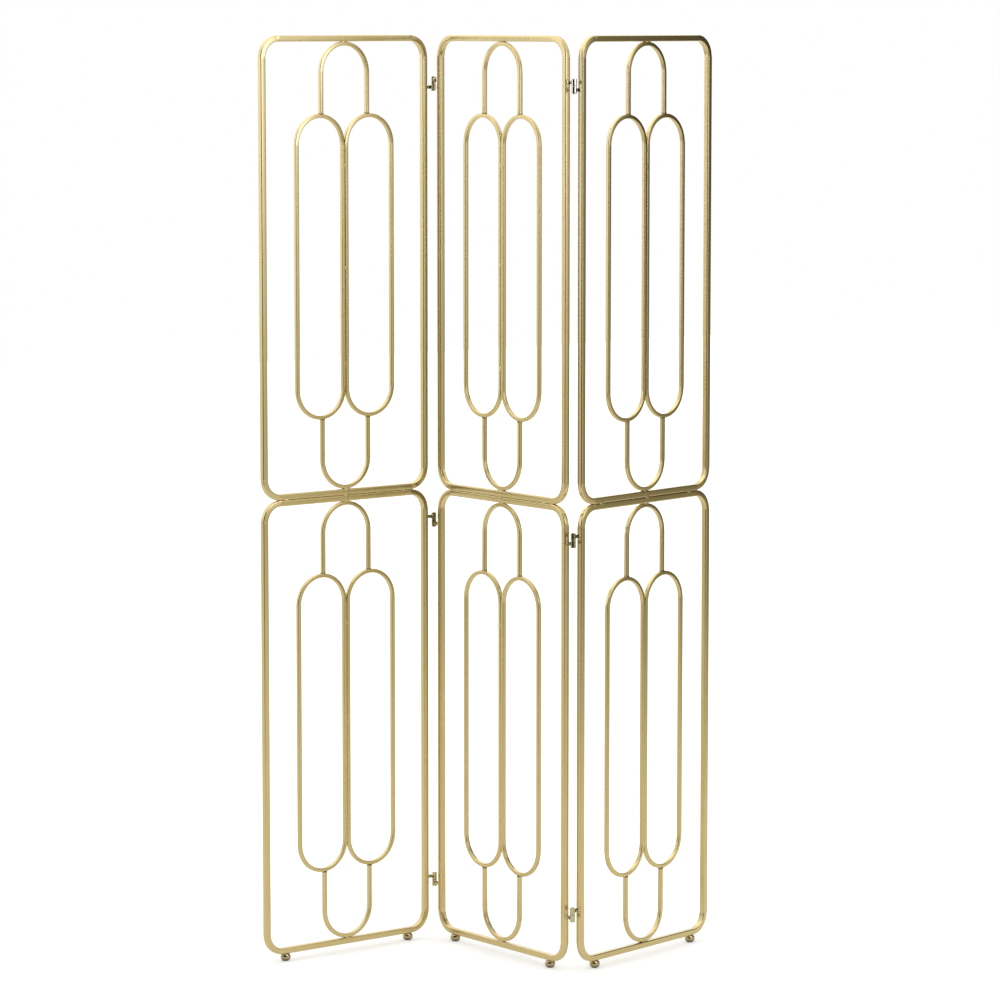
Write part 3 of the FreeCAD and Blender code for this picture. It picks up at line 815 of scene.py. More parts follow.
def arch_bar(side, half, name, sizes):
    """An arch: a half circle with two legs, whose ends flare and sink into the loops.

    The section grows over the last stretch of each leg by a share that rises as the square
    of the way to its end, as a ground weld does. Its map counts from the nearer end.
    """
    low, high = box(f"{side}_panel_{half}_{name}_arch")
    leg = (high[2] - low[2]) - LOOP_WIDTH / 2 + sizes.leg_sink
    ends = metres(LEG_END_ROWS)
    up = ends[ends < leg * LEG_ROWS_SHARE] - leg
    arc = half_circle()
    rise = np.stack([np.full(len(up), BAR_LINE_RADIUS), up], axis=1)
    path = np.concatenate([rise, BAR_LINE_RADIUS * arc, rise[::-1] * (-1, 1)])
    rightward = np.tile([1.0, 0.0], (len(up), 1))
    normals = np.concatenate([rightward, arc, -rightward])
    section = bar_section(sizes)
    way = np.clip(1 - (path[:, 1] + leg) / sizes.leg_flare_reach, 0, 1)
    growth = 1 + sizes.leg_flare_share * way**2
    offsets = section[None] * growth[:, None, None]
    in_arc = bend_share(path[:, 1])
    offsets = keystoned(offsets, BAR_SIDE / 2, sizes.bend_keystone * in_arc[:, None])
    points = swept(path, normals, offsets)
    if name == "crown":
        points[..., 2] += high[2] - LOOP_WIDTH / 2
    else:
        points[..., 2] = low[2] + LOOP_WIDTH / 2 - points[..., 2]
    along = lengths_along(path)
    from_end = np.minimum(along, along[-1] - along)
    return points, from_end + ARCH_MAP_START, lengths_along(section, closed=True)


# Weld beads

BEAD_SEED = 101
BEAD_ROWS, BEAD_COLUMNS = 17, 28
BEAD_TIP_ANGLE = 0.12
BEAD_SQUARING = 0.85
BEAD_RIPPLES = 4
RIPPLE_HEIGHT, BEAD_LUMP_HEIGHT = 0.06, 0.05

# Beads in a groove: how unevenly they sit, their half length, and their half width, half
# thickness and sinking as shares of the rounding that makes the groove
SEAM_BEADS = (0.0025, 0.0052, 1.25, 0.55, 0.45)
LOOP_BEADS = (0.003, 0.0032, 1.5, 0.62, 0.4)
# How unevenly long they are, as a share of how unevenly they sit
LENGTH_SPREAD_SHARE = 0.3
# Beads on an arch: how unevenly they sit, their half sizes, how far they sink into the face
# and how far they lie from where the arch touches the rail
ARCH_BEAD_SPREAD = 0.0008
ARCH_BEAD_SIZE = (0.0062, 0.0011, 0.0015)
ARCH_BEAD_SUNK, ARCH_BEAD_INSET = 0.0004, 0.0002


def weld_bead(centre, half_size, rng):
    """A bead of weld metal: an oval whose radius carries the ripples of its frozen pool.

    Each point is the centre plus the half sizes times the direction of its angles, with
    the direction's parts raised to a power just under 1 to square the oval a little.
    """
    tilt = np.linspace(BEAD_TIP_ANGLE, math.pi - BEAD_TIP_ANGLE, BEAD_ROWS)[:, None]
    spin = np.linspace(0, 2 * math.pi, BEAD_COLUMNS, endpoint=False)[None, :]
    direction = np.stack(
        [np.cos(tilt) + 0 * spin, np.sin(tilt) * np.cos(spin), np.sin(tilt) * np.sin(spin)],
        axis=-1,
    )
    squared = np.sign(direction) * np.abs(direction) ** BEAD_SQUARING
    phase = rng.uniform(0, 2 * math.pi, 3)
    ripple = RIPPLE_HEIGHT * np.sin(BEAD_RIPPLES * math.pi * direction[..., 0] + phase[0])
    ripple += BEAD_LUMP_HEIGHT * np.sin(2 * spin + phase[1]) * np.sin(3 * tilt + phase[2])
    points = centre + squared * (1 + ripple)[..., None] * half_size
    scale = float(np.max(half_size))
    return points, tilt[:, 0] * scale, np.linspace(0, 2 * math.pi, BEAD_COLUMNS + 1) * scale


def groove_beads(form, height, spacing, face, groove, rng, upright):
    """Places and half sizes of the beads in a front and a back groove, three in each.

    The grooves run upwards, or along the panel. Their middle is at a height, and the faces
    that they lie between are a distance from the panel's middle.
    """
    spread, half_length, width_share, thickness_share, sunk_share = form
    half_width, half_thickness = width_share * groove, thickness_share * groove
    for step in (-spacing, 0.0, spacing):
        for front in (-1, 1):
            aside, longer = rng.normal(0, spread, 2)
            length = half_length + LENGTH_SPREAD_SHARE * abs(longer)
            y = front * (face - sunk_share * groove)
            if upright:
                yield (0.0, y, height + step + aside), (half_width, half_thickness, length)
            else:
                yield (step + aside, y, height), (length, half_thickness, half_width)


def arch_beads(side, half, rng):
    """Places and half sizes of the beads where a frame's arches touch its rails."""
    crown, base = box(f"{side}_panel_{half}_crown_arch"), box(f"{side}_panel_{half}_base_arch")
    for z in (crown[1][2] - ARCH_BEAD_INSET, base[0][2] + ARCH_BEAD_INSET):
        for front in (-1, 1):
            x = rng.normal(0, ARCH_BEAD_SPREAD)
            yield (x, front * (BAR_SIDE / 2 - ARCH_BEAD_SUNK), z), ARCH_BEAD_SIZE


def panel_beads(side, rng, sizes):
    """Places and half sizes of a panel's beads: on its seam, and on its loops and arches."""
    upper, lower = box(f"{side}_panel_upper_frame"), box(f"{side}_panel_lower_frame")
    seam = (upper[0][2] + lower[1][2]) / 2
    spacing, groove = sizes.seam_weld_spacing, sizes.tube_edge_radius
    beads = list(
        groove_beads(SEAM_BEADS, seam, spacing, TUBE_SIDE / 2, groove, rng, upright=False)
    )
    spacing, groove = sizes.loop_weld_spacing, sizes.bar_edge_radius
    for half in HALVES:
        low, high = box(f"{side}_panel_{half}_left_loop")
        middle = (low[2] + high[2]) / 2
        beads += groove_beads(
            LOOP_BEADS, middle, spacing, BAR_SIDE / 2, groove, rng, upright=True
        )
        beads += arch_beads(side, half, rng)
    return beads


# Turned pieces: hinges and feet

# How finely each is drawn, round its axis and along its curves
PIN_COLUMNS, NECK_COLUMNS, FOOT_COLUMNS, EYE_COLUMNS = 48, 48, 64, 72
DOME_ROWS, UNDER_BELLY_ROWS, OVER_BELLY_ROWS, NECK_ROWS = 9, 12, 14, 34
CORNER_STEPS = 5
# The most of a straight run that the rounding of one corner takes
ROUNDED_SHARE = 0.49

# Hinges. A bore's rounding is a share of the eye's, and a neck starts inside the eye
PIN_PLAY = 0.00005
BORE_ROUNDING_SHARE = 0.4
NECK_START_SHARE = 0.72
NECK_ROOT_GAP = 0.0001
DOME_SEAT = 0.00015

# Feet: the lip under a cap, the rim and seat on its top, and the power of its upper curve
CAP_UNDER_INSET, CAP_LIP_INSET, CAP_LIP_DROP = 0.0014, 0.0004, 0.0001
CAP_RIM_INSET, CAP_RIM_RISE, CAP_SEAT_SHARE = 0.0005, 0.0004, 0.4
CAP_TOP_POWER = 2.4
# A pad's middle and flat as shares of its radius, its dish, its edge and its roundings
PAD_MIDDLE_SHARE, PAD_FLAT_SHARE = 0.05, 0.9
PAD_DISH, PAD_EDGE_HEIGHT = 0.00003, 0.0006
PAD_FLAT_ROUNDING, PAD_EDGE_ROUNDING, PAD_TOP_ROUNDING = 0.0004, 0.0005, 0.0002


def turned_surface(profile, middle, columns, axis=UP):
    """A turned surface: a profile of radius and height carried round an axis.

    A point is the middle plus its height along the axis plus its radius times the
    direction of its angle. The profile starts and ends on or near the axis, which is
    upright or level.
    """
    profile = np.asarray(profile)
    level = np.cross(axis, (0.0, 1.0, 0.0) if axis[2] else UP)
    level /= np.linalg.norm(level)
    other = np.cross(axis, level)
    spin = np.linspace(0, 2 * math.pi, columns, endpoint=False)
    around = np.cos(spin)[:, None] * level + np.sin(spin)[:, None] * other
    radius, height = profile[:, 0], profile[:, 1]
    points = middle + height[:, None, None] * axis + radius[:, None, None] * around[None]
    widest = float(radius.max())
    return points, lengths_along(profile), np.linspace(0, 2 * math.pi, columns + 1) * widest


def rounded_profile(corners):
    """A profile of straight runs with round corners.

    Each corner is its radius, its height and the size of its rounding. The rounding is the
    curve (1 - t)^2 a + 2 (1 - t) t corner + t^2 b between the points that far before and
    after the corner.
    """
    corners = np.asarray(corners, dtype=float)
    places, rounding = corners[:, :2], corners[:, 2]
    rows = [places[0]]
    t = np.linspace(0, 1, CORNER_STEPS + 1)[:, None]
    for k in range(1, len(places) - 1):
        before, here, after = places[k - 1], places[k], places[k + 1]
        into, onward = here - before, after - here
        run_in, run_out = np.linalg.norm(into), np.linalg.norm(onward)
        size = min(rounding[k], ROUNDED_SHARE * run_in, ROUNDED_SHARE * run_out)
        a = here - into / run_in * size
        b = here + onward / run_out * size
        if size > 0:
            rows.extend((1 - t) ** 2 * a + 2 * (1 - t) * t * here + t**2 * b)
        else:
            rows.append(here)
    rows.append(places[-1])
    return np.array(rows)


def eye_profile(sizes, half_height):
    """Half of a section through a knuckle's eye, from its bore over its outside and back."""
    radius, rounding = sizes.eye_radius, sizes.eye_rounding
    bore, bore_rounding = sizes.pin_radius + PIN_PLAY, rounding * BORE_ROUNDING_SHARE
    return rounded_profile(
        [
            (bore, 0.0, 0.0),
            (bore, -half_height, bore_rounding),
            (radius, -half_height, rounding),
            (radius, half_height, rounding),
            (bore, half_height, bore_rounding),
            (bore, 0.0, 0.0),
        ]
    )


def neck_profile(sizes):
    """A neck from inside the eye to the stile: it narrows in a hollow curve and flares again.

    Between its two ends the radius is the waist plus each flare times (1 - way / reach)^2.
    """
    start, end = sizes.eye_radius * NECK_START_SHARE, HINGE_REACH
    way = np.linspace(start, end - NECK_ROOT_GAP, NECK_ROWS)
    from_eye = np.clip(1 - (way - start) / sizes.neck_flare_reach, 0, 1)
    from_root = np.clip(1 - (end - way) / sizes.neck_root_reach, 0, 1)
    waist = sizes.neck_waist_radius
    eye_flare = (sizes.neck_eye_radius - waist) * from_eye**2
    root_flare = (sizes.neck_root_radius - waist) * from_root**2
    return np.stack([waist + eye_flare + root_flare, way], axis=1)


def knuckle_nodes():
    """Each knuckle's node, body, pivot and the direction of its neck."""
    for side in HINGED_SIDES:
        pivot = PIVOTS[side]
        for level in LEVELS:
            for owner, node in (
                ("middle", f"middle_panel_{side}_{level}_knuckle"),
                (side, f"{side}_panel_{level}_knuckle"),
            ):
                centre = AXES[owner][0]
                towards = np.array([centre[0] - pivot[0], centre[1] - pivot[1], 0.0])
                yield node, f"{owner}_panel", pivot, towards / np.linalg.norm(towards)


def add_knuckle(skin, node, pivot, towards, sizes):
    """Adds a knuckle's eye as a ring, and its neck as a turned piece on its side."""
    low, high = box(node)
    middle = np.array([pivot[0], pivot[1], (low[2] + high[2]) / 2])
    profile = eye_profile(sizes, (high[2] - low[2]) / 2)
    eye, _, columns_at = turned_surface(profile[:-1], middle, EYE_COLUMNS)
    skin.add(eye, lengths_along(profile), columns_at, ring=True)
    neck, along, around = turned_surface(neck_profile(sizes), middle, NECK_COLUMNS, towards)
    skin.add(neck, along + NECK_MAP_START, around)


def pin_profile(sizes, half_length):
    """A pin with low domed heads: each dome's height falls with the square of the radius."""
    way = np.linspace(0, 1, DOME_ROWS)
    head, rise = sizes.pin_head_radius, sizes.pin_head_rise
    dome = np.stack([head * way, half_length + rise * (1 - way**2) + DOME_SEAT], axis=1)
    shank = np.array([[sizes.pin_radius, half_length], [sizes.pin_radius, 0.0]])
    upper = np.concatenate([dome[1:], [[head, half_length]], shank])
    return np.concatenate([upper, (upper * (1, -1))[::-1][1:]])


def cap_profile(sizes, low, high):
    """A foot cap: a waist at the pad, a round belly and a narrower flat top.

    Its radius is the belly's, less a share of the square of the way down to the waist, and
    less a share of a power of the way up to the top, so that both meet smoothly.
    """
    waist, widest, top = sizes.cap_waist_radius, sizes.cap_belly_radius, sizes.cap_top_radius
    belly = low + (high - low) * sizes.cap_belly_share
    down = np.linspace(1, 0, UNDER_BELLY_ROWS)
    up = np.linspace(0, 1, OVER_BELLY_ROWS)[1:]
    lower_radius = widest - (widest - waist) * down**2
    upper_radius = widest - (widest - top) * up**CAP_TOP_POWER
    under = [[waist - CAP_UNDER_INSET, low], [waist - CAP_LIP_INSET, low - CAP_LIP_DROP]]
    lower = np.stack([lower_radius, belly - (belly - low) * down], axis=1)
    upper = np.stack([upper_radius, belly + (high - belly) * up], axis=1)
    seat = [[top - CAP_RIM_INSET, high + CAP_RIM_RISE], [top * CAP_SEAT_SHARE, high]]
    return np.concatenate([under, lower, upper, seat])


def pad_profile(radius, height):
    """A pad: barely dished under its flat, with a round lower edge and a plain top."""
    middle = radius * PAD_MIDDLE_SHARE
    return rounded_profile(
        [
            (middle, PAD_DISH, 0.0),
            (radius * PAD_FLAT_SHARE, 0.0, PAD_FLAT_ROUNDING),
            (radius, PAD_EDGE_HEIGHT, PAD_EDGE_ROUNDING),
            (radius, height, PAD_TOP_ROUNDING),
            (middle, height, 0.0),
        ]
    )


# Sizes and colours that a user would change


def length_property(name, description, default):
    return FloatProperty(
        name=name, description=description, default=default, min=0.0, unit="LENGTH", precision=5
    )


def share_property(name, description, default):
    return FloatProperty(
        name=name, description=description, default=default, min=0.0, max=1.0, subtype="FACTOR"
    )


def colour_property(name, description, default):
    return FloatVectorProperty(
        name=name, description=description, default=default, min=0.0, max=1.0, subtype="COLOR"
    )


class DividerSizes(PropertyGroup):
    """Sizes of the dressed pieces that the frame's boxes don't give."""

    bend_radius: length_property("Bend radius", "Outside radius of the tube's bends", 0.042)
    tube_edge_radius: length_property("Tube edge radius", "Rounding of the tube's edges", 0.0019)
    bar_edge_radius: length_property("Bar edge radius", "Rounding of the bar's edges", 0.0013)
    face_crown: FloatProperty(
        name="Face crown",
        description="How far a tube's or bar's face turns from its middle to its edge",
        default=math.radians(4),
        min=math.radians(0.1),
        subtype="ANGLE",
    )
    bend_dent: length_property("Bend dent", "How far the inner wall sinks in a bend", 0.0007)
    bend_keystone: share_property("Bend keystone", "How much narrower an outer wall is", 0.14)
    bend_wrinkle: length_property("Bend wrinkle", "Height of the wrinkles in a bend", 0.00006)
    bend_pinch: length_property("Bend pinch", "How far a bend's start pinches the edges", 0.0008)
    closing_weld_rise: length_property("Closing weld", "Rise of the ring's ground weld", 0.00015)
    leg_sink: length_property("Leg sink", "How far an arch's leg sinks into its weld", 0.0006)
    leg_flare_reach: length_property("Leg flare reach", "Length of a leg's flare", 0.0028)
    leg_flare_share: share_property("Leg flare", "How much wider a leg is at its weld", 0.16)
    seam_weld_spacing: length_property("Seam weld spacing", "Between a seam's beads", 0.14)
    loop_weld_spacing: length_property("Loop weld spacing", "Between two loops' beads", 0.195)
    eye_radius: length_property("Eye radius", "Radius of a hinge knuckle's eye", 0.00499)
    eye_rounding: length_property("Eye rounding", "Rounding of the eye's rims", 0.0006)
    neck_waist_radius: length_property("Neck waist", "Radius of a neck at its thinnest", 0.0034)
    neck_eye_radius: length_property("Neck at the eye", "Radius of a neck at the eye", 0.0047)
    neck_root_radius: length_property("Neck root", "Radius of a neck on the stile", 0.0045)
    neck_flare_reach: length_property("Neck flare reach", "Length of the eye's flare", 0.0062)
    neck_root_reach: length_property("Neck root reach", "Length of the stile's flare", 0.0044)
    pin_radius: length_property("Pin radius", "Radius of a hinge pin", 0.0025)
    pin_head_radius: length_property("Pin head radius", "Radius of a pin's domed head", 0.0034)
    pin_head_rise: length_property("Pin head rise", "Height of a pin's domed head", 0.001)
    cap_waist_radius: length_property("Cap waist", "Radius of a foot cap at its pad", 0.007)
    cap_belly_radius: length_property("Cap belly", "Radius of a foot cap's belly", 0.01006)
    cap_top_radius: length_property("Cap top", "Radius of a foot cap under the rail", 0.0078)
    cap_belly_share: share_property("Cap belly height", "As a share of the cap's height", 0.483)


class DividerFinish(PropertyGroup):
    """Colours and gloss of the divider, and the stage's."""

    satin_colour: colour_property("Satin brass", "Colour of tubes and bars", (0.69, 0.56, 0.266))
    satin_roughness: share_property("Satin roughness", "Roughness of tubes and bars", 0.235)
    polished_colour: colour_property("Polished brass", "Colour of hardware", (0.72, 0.69, 0.54))
    polished_roughness: share_property("Polish", "Roughness of the hinges and feet", 0.05)
    pad_colour: colour_property("Pads", "Colour of the plastic pads", (0.022, 0.021, 0.020))
    steel_colour: colour_property("Fasteners", "Colour of the zinc steel", (0.42, 0.43, 0.44))
    floor_colour: colour_property("Floor", "Colour of the floor", (0.80, 0.80, 0.80))


# One operator for each group of like pieces


def panel_piece(side, name, material, surface, ring=False):
    """Makes a piece of one surface that is given in its panel's own directions."""
    points, rows_at, columns_at = surface
    skin = Skin()
    skin.add(in_panel(side, points), rows_at, columns_at, ring=ring)
    return skin.make(name, material_of(material))


def panel_feet(side, name, material, profile):
    """Makes the like turned parts of a panel's two feet, as one piece."""
    skin = Skin()
    for foot in FEET:
        place = MOUNT_PLACES[f"{side}_panel_{foot}_foot"]
        skin.add(*turned_surface(profile, place, FOOT_COLUMNS))
    return skin.make(name, material_of(material))


class DIVIDER_OT_tube_frames(Operator):
    """Makes the six bent frames of square tube"""

    bl_idname = "divider.tube_frames"
    bl_label = "Tube frames"

    def execute(self, context):
        for side in SIDES:
            for half in HALVES:
                surface = tube_ring(side, half, context.scene.divider_sizes)
                label = f"{side}_{half}_tube_ring"
                piece = panel_piece(side, label, "tube_satin_brass", surface, ring=True)
                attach(piece, f"{side}_panel")
                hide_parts(f"{side}_panel_{half}_frame")
        return {"FINISHED"}


class DIVIDER_OT_loops(Operator):
    """Makes the twelve tall loops of square bar"""

    bl_idname = "divider.loops"
    bl_label = "Loops"

    def execute(self, context):
        for side in SIDES:
            for half in HALVES:
                for name in ("left", "right"):
                    surface = loop_ring(side, half, name, context.scene.divider_sizes)
                    label = f"{side}_{half}_{name}_tall_loop"
                    piece = panel_piece(side, label, "bar_satin_brass", surface, ring=True)
                    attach(piece, f"{side}_panel")
                    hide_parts(f"{side}_panel_{half}_{name}_loop")
        return {"FINISHED"}


class DIVIDER_OT_arches(Operator):
    """Makes the twelve arches of square bar"""

    bl_idname = "divider.arches"
    bl_label = "Arches"

    def execute(self, context):
        for side in SIDES:
            for half in HALVES:
                for name in ("crown", "base"):
                    surface = arch_bar(side, half, name, context.scene.divider_sizes)
                    label = f"{side}_{half}_{name}_bent_arch"
                    piece = panel_piece(side, label, "bar_satin_brass", surface)
                    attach(piece, f"{side}_panel")
                    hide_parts(f"{side}_panel_{half}_{name}_arch")
        return {"FINISHED"}


class DIVIDER_OT_weld_beads(Operator):
    """Makes the weld beads of the seams, loops and arches"""

    bl_idname = "divider.weld_beads"
    bl_label = "Weld beads"

    def execute(self, context):
        for side in SIDES:
            skin = Skin()
            rng = np.random.default_rng(BEAD_SEED + SIDES.index(side))
            for place, half_size in panel_beads(side, rng, context.scene.divider_sizes):
                points, rows_at, columns_at = weld_bead(np.array(place), np.array(half_size), rng)
                skin.add(in_panel(side, points), rows_at, columns_at)
            piece = skin.make(f"{side}_panel_weld_beads", material_of("plated_weld"))
            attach(piece, f"{side}_panel")
        return {"FINISHED"}


class DIVIDER_OT_hinge_knuckles(Operator):
    """Makes the twelve hinge knuckles, each an eye with its neck"""

    bl_idname = "divider.hinge_knuckles"
    bl_label = "Hinge knuckles"

    def execute(self, context):
        for node, body, pivot, towards in knuckle_nodes():
            skin = Skin()
            add_knuckle(skin, node, pivot, towards, context.scene.divider_sizes)
            piece = skin.make(f"{node}_turned", material_of("turned_brass"))
            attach(piece, body)
            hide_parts(node)
        return {"FINISHED"}


class DIVIDER_OT_hinge_pins(Operator):
    """Makes the six hinge pins with their domed heads"""

    bl_idname = "divider.hinge_pins"
    bl_label = "Hinge pins"

    def execute(self, context):
        for side in HINGED_SIDES:
            skin = Skin()
            for level in LEVELS:
                first = box(f"middle_panel_{side}_{level}_knuckle")
                second = box(f"{side}_panel_{level}_knuckle")
                bottom, top = min(first[0][2], second[0][2]), max(first[1][2], second[1][2])
                middle = np.array([PIVOTS[side][0], PIVOTS[side][1], (bottom + top) / 2])
                profile = pin_profile(context.scene.divider_sizes, (top - bottom) / 2)
                skin.add(*turned_surface(profile, middle, PIN_COLUMNS))
            piece = skin.make(f"{side}_hinge_pins_domed", material_of("turned_brass"))
            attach(piece, "middle_panel")
            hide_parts(f"{side}_hinge_pins")
        return {"FINISHED"}


class DIVIDER_OT_foot_caps(Operator):
    """Makes the six turned foot caps"""

    bl_idname = "divider.foot_caps"
    bl_label = "Foot caps"

    def execute(self, context):
        for side in SIDES:
            low, high = box(f"{side}_panel_foot_caps")
            profile = cap_profile(context.scene.divider_sizes, low[2], high[2])
            piece = panel_feet(side, f"{side}_panel_turned_caps", "turned_brass", profile)
            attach(piece, f"{side}_panel")
            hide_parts(f"{side}_panel_foot_caps")
        return {"FINISHED"}


class DIVIDER_OT_foot_pads(Operator):
    """Makes the six plastic pads, with a round lower edge"""

    bl_idname = "divider.foot_pads"
    bl_label = "Foot pads"

    def execute(self, context):
        # The left panel stands along Y, so the box of its two pads is one pad wide in X
        radius = extent("left_panel_foot_pads")[0] / 2
        for side in SIDES:
            profile = pad_profile(radius, box(f"{side}_panel_foot_pads")[1][2])
            piece = panel_feet(side, f"{side}_panel_moulded_pads", "pad_plastic", profile)
            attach(piece, f"{side}_panel")
            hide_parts(f"{side}_panel_foot_pads")
        return {"FINISHED"}


class DIVIDER_OT_foot_fasteners(Operator):
    """Finishes the studs and threaded inserts of the feet"""

    bl_idname = "divider.foot_fasteners"
    bl_label = "Foot fasteners"

    def execute(self, context):
        steel = material_of("zinc_steel")
        for side in SIDES:
            for kind in ("studs", "inserts"):
                for slot in frame["nodes"][f"{side}_panel_foot_{kind}"].material_slots:
                    slot.material = steel
        return {"FINISHED"}


# The stage: floor, surroundings, studio wall, lamp and camera

CAMERA_PLACE = (6.3861, -5.0717, 1.835)
CAMERA_TURN = 0.8996
CAMERA_DIP = 0.1141
CAMERA_LENS = 151.76
CAMERA_REACH = 60.0
SENSOR_WIDTH = 36.0

LAMP_PLACE = (-0.9, -0.2, 3.1)
LAMP_TARGET = (0.0, 0.0, 0.0)
LAMP_SIZE = (2.4, 2.4)
LAMP_POWER = 12.0

FLOOR_REACH, FLOOR_ROWS = 12.0, 25
FLOOR_ROUGHNESS = 0.9
# The floor's own glow: two distances from the divider's middle, and its strength at both
GLOW_SEEN = (0.46, 0.85, 0.27, 0.60)
GLOW_IN_METAL = (0.30, 2.60, 0.05, 0.0)

WALL_RADIUS, WALL_HEIGHT = 2.6, 3.2
WALL_COLUMNS, WALL_ROWS = 96, 9
# Heights over which one row of the wall's levels gives way to the next
FOOT_TO_MIDDLE = (0.05, 0.45)
MIDDLE_TO_HIGH = (0.80, 1.30)
HIGH_TO_TOP = (1.40, 1.52)
# Green and blue as shares of a level, and how much each share grows with the level
WALL_GREEN = (0.97, 0.04)
WALL_BLUE = (0.74, 0.30)
# Grey levels round the studio: pairs of an angle in degrees and a level, from +X towards +Y
WALL_TOP = (
    (0, 2.4), (23, 2.4), (29, 1.0), (38, 0.80), (46, 0.55), (56, 0.25), (64, 0.05),
    (112, 0.05), (122, 1.25), (190, 1.25), (205, 1.2), (252, 1.5), (264, 0.02), (344, 0.02),
    (356, 2.4),
)
WALL_HIGH = (
    (0, 1.0), (28, 0.90), (34, 0.86), (46, 0.55), (56, 0.25), (64, 0.05), (112, 0.05),
    (122, 1.25), (190, 1.25), (205, 1.10), (225, 1.10), (240, 1.5), (252, 1.5), (264, 0.02),
    (340, 0.02), (352, 0.7),
)
WALL_MIDDLE = (
    (0, 0.62), (34, 0.62), (50, 0.45), (62, 0.22), (110, 0.20), (126, 1.20), (190, 1.10),
    (205, 0.86), (250, 0.86), (264, 0.06), (336, 0.04), (352, 0.46),
)
WALL_FOOT = (
    (0, 0.80), (36, 0.86), (55, 0.68), (70, 0.60), (115, 0.60), (130, 1.0), (190, 1.0),
    (205, 0.86), (250, 0.86), (264, 0.36), (330, 0.34), (350, 0.70),
)


def floor_material():
    """A pale matt floor.

    Seen by the camera it has a white glow of its own that takes over with the distance from
    the divider, so that the shadows stay near it. In the metal it fades with the distance.
    """
    material, tree, shader = new_material("studio_floor")
    colour = bpy.context.scene.divider_finish.floor_colour
    shader.inputs["Base Color"].default_value = (*colour, 1.0)
    shader.inputs["Roughness"].default_value = FLOOR_ROUGHNESS
    shader.inputs["Specular IOR Level"].default_value = 0.0
    path = tree.node("ShaderNodeLightPath").outputs
    measured = tree.node("ShaderNodeVectorMath", {"operation": "LENGTH"}, i0=tree.place())
    distance = measured.outputs["Value"]
    reflected = tree.math("MAXIMUM", path["Is Glossy Ray"], path["Is Transmission Ray"])
    seen = tree.math("MULTIPLY", tree.remap(distance, *GLOW_SEEN), path["Is Camera Ray"])
    strength = tree.raised(seen, tree.remap(distance, *GLOW_IN_METAL), reflected)
    white = (1.0, 1.0, 1.0, 1.0)
    glow = tree.node("ShaderNodeEmission", None, Color=white, Strength=strength).outputs[0]
    total = tree.node("ShaderNodeAddShader", None, i0=shader.outputs[0], i1=glow).outputs[0]
    tree.join(total, material.node_tree.nodes["Material Output"].inputs["Surface"])
    return material


def stage_piece(name, points, faces, material):
    """A piece of the stage, from a grid of points and the faces between them."""
    mesh = bpy.data.meshes.new(name)
    mesh.from_pydata(points.reshape(-1, 3).tolist(), [], faces.tolist())
    mesh.materials.append(material)
    piece = bpy.data.objects.new(name, mesh)
    bpy.context.scene.collection.objects.link(piece)
    return piece


def studio_floor():
    """A flat square floor that reaches past every view."""
    reach = np.linspace(-FLOOR_REACH, FLOOR_REACH, FLOOR_ROWS)
    x, y = np.meshgrid(reach, reach, indexing="ij")
    points = np.stack([x, y, 0 * x], axis=-1)
    index = np.arange(x.size).reshape(x.shape)
    faces = np.stack(corners_of(index), axis=-1).reshape(-1, 4)[:, ::-1]
    floor = stage_piece("floor", points, faces, floor_material())


def white_surroundings():
    """A plain white background all round."""
    world = bpy.data.worlds.new("studio")
    world.use_nodes = True
    background = world.node_tree.nodes["Background"]
    background.inputs["Color"].default_value = (1.0, 1.0, 1.0, 1.0)
    background.inputs["Strength"].default_value = 1.0
    bpy.context.scene.world = world


def wall_stops(levels):
    """Ramp stops of a row of levels. The darker a level is, the warmer, and past 1 the cooler."""
    stops = []
    for angle, level in levels:
        green = level * (WALL_GREEN[0] + WALL_GREEN[1] * level)
        blue = level * (WALL_BLUE[0] + WALL_BLUE[1] * level)
        stops.append((angle / 360, (level, green, blue)))
    return stops


def wall_material():
    """A glow whose level goes with the angle round the studio, and with the height."""
    material, tree, shader = new_material("studio_wall")
    material.node_tree.nodes.remove(shader)
    x, y, z = tree.parts(tree.place())
    turn = tree.math("DIVIDE", tree.math("ARCTAN2", y, x), 2 * math.pi)
    turn = tree.math("FRACT", tree.math("ADD", turn, 1.0))
    top, high, middle, foot = (
        tree.ramp(turn, wall_stops(levels))
        for levels in (WALL_TOP, WALL_HIGH, WALL_MIDDLE, WALL_FOOT)
    )
    low_part = tree.blend("MIX", tree.spread(z, *FOOT_TO_MIDDLE), foot, middle)
    high_part = tree.blend("MIX", tree.spread(z, *MIDDLE_TO_HIGH), low_part, high)
    whole = tree.blend("MIX", tree.spread(z, *HIGH_TO_TOP), high_part, top)
    glow = tree.node("ShaderNodeEmission", None, Color=whole, Strength=1.0).outputs[0]
    tree.join(glow, material.node_tree.nodes["Material Output"].inputs["Surface"])
    return material


def studio_wall():
    """A round studio wall that only the metal sees, with lamps and dark gaps round it.

    Its points are the radius times the cosine and sine of an angle, at even heights.
    """
    turns = np.linspace(0, 2 * math.pi, WALL_COLUMNS + 1)[:-1]
    heights = np.linspace(0, WALL_HEIGHT, WALL_ROWS)
    angle, up = np.meshgrid(turns, heights, indexing="ij")
    points = np.stack([WALL_RADIUS * np.cos(angle), WALL_RADIUS * np.sin(angle), up], axis=-1)
    index = np.arange(angle.size).reshape(angle.shape)
    index = np.concatenate([index, index[:1]])
    faces = np.stack(corners_of(index), axis=-1).reshape(-1, 4)
    wall = stage_piece("studio_wall", points, faces, wall_material())
    wall.visible_camera = wall.visible_diffuse = wall.visible_shadow = False


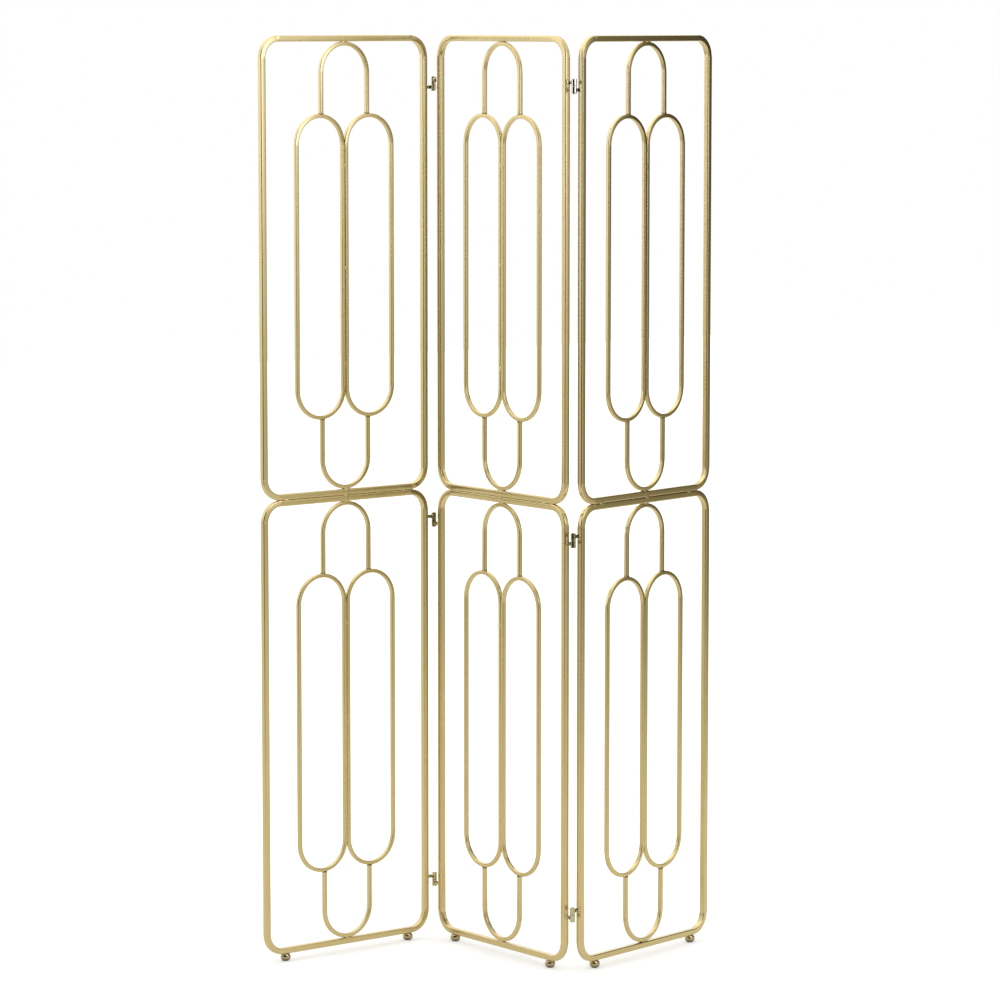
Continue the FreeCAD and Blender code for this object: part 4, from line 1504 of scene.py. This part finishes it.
def soft_lamp():
    """A wide soft lamp over the divider, for its shadow."""
    lamp = bpy.data.lights.new("key_lamp", "AREA")
    lamp.shape = "RECTANGLE"
    lamp.size, lamp.size_y = LAMP_SIZE
    lamp.energy = LAMP_POWER
    holder = bpy.data.objects.new("key_lamp", lamp)
    holder.location = LAMP_PLACE
    towards = Vector(LAMP_TARGET) - Vector(LAMP_PLACE)
    holder.rotation_euler = towards.to_track_quat("-Z", "Y").to_euler()
    bpy.context.scene.collection.objects.link(holder)


def high_camera():
    """A camera high beside the divider, which looks a little down at it."""
    data = bpy.data.cameras.new("camera")
    data.sensor_width = SENSOR_WIDTH
    data.lens = CAMERA_LENS
    data.clip_end = CAMERA_REACH
    camera = bpy.data.objects.new("camera", data)
    camera.location = CAMERA_PLACE
    camera.rotation_euler = Euler((math.pi / 2 - CAMERA_DIP, 0.0, CAMERA_TURN))
    bpy.context.scene.collection.objects.link(camera)
    bpy.context.scene.camera = camera


class DIVIDER_OT_stage(Operator):
    """Makes the floor, the soft studio light and the camera"""

    bl_idname = "divider.stage"
    bl_label = "Stage"

    def execute(self, context):
        studio_floor()
        white_surroundings()
        studio_wall()
        soft_lamp()
        high_camera()
        context.scene.view_settings.view_transform = "Standard"
        return {"FINISHED"}


class DIVIDER_PT_sidebar(Panel):
    """Lists the divider's operators, sizes and finishes"""

    bl_idname = "DIVIDER_PT_sidebar"
    bl_label = "Folding divider"
    bl_space_type = "VIEW_3D"
    bl_region_type = "UI"
    bl_category = "Divider"

    def draw(self, context):
        for operator in OPERATORS:
            self.layout.operator(operator.bl_idname)
        for group in (context.scene.divider_sizes, context.scene.divider_finish):
            column = self.layout.column(align=True)
            for name in group.__annotations__:
                column.prop(group, name)


OPERATORS = (
    DIVIDER_OT_tube_frames,
    DIVIDER_OT_loops,
    DIVIDER_OT_arches,
    DIVIDER_OT_weld_beads,
    DIVIDER_OT_hinge_knuckles,
    DIVIDER_OT_hinge_pins,
    DIVIDER_OT_foot_caps,
    DIVIDER_OT_foot_pads,
    DIVIDER_OT_foot_fasteners,
    DIVIDER_OT_stage,
)
CLASSES = (DividerSizes, DividerFinish, *OPERATORS, DIVIDER_PT_sidebar)


def register():
    for item in CLASSES:
        bpy.utils.register_class(item)
    bpy.types.Scene.divider_sizes = PointerProperty(type=DividerSizes)
    bpy.types.Scene.divider_finish = PointerProperty(type=DividerFinish)


def unregister():
    del bpy.types.Scene.divider_finish
    del bpy.types.Scene.divider_sizes
    for item in reversed(CLASSES):
        bpy.utils.unregister_class(item)


def main():
    register()
    for operator in OPERATORS:
        group, name = operator.bl_idname.split(".")
        getattr(getattr(bpy.ops, group), name)()
    bpy.context.view_layer.update()


if __name__ == "__main__":
    main()
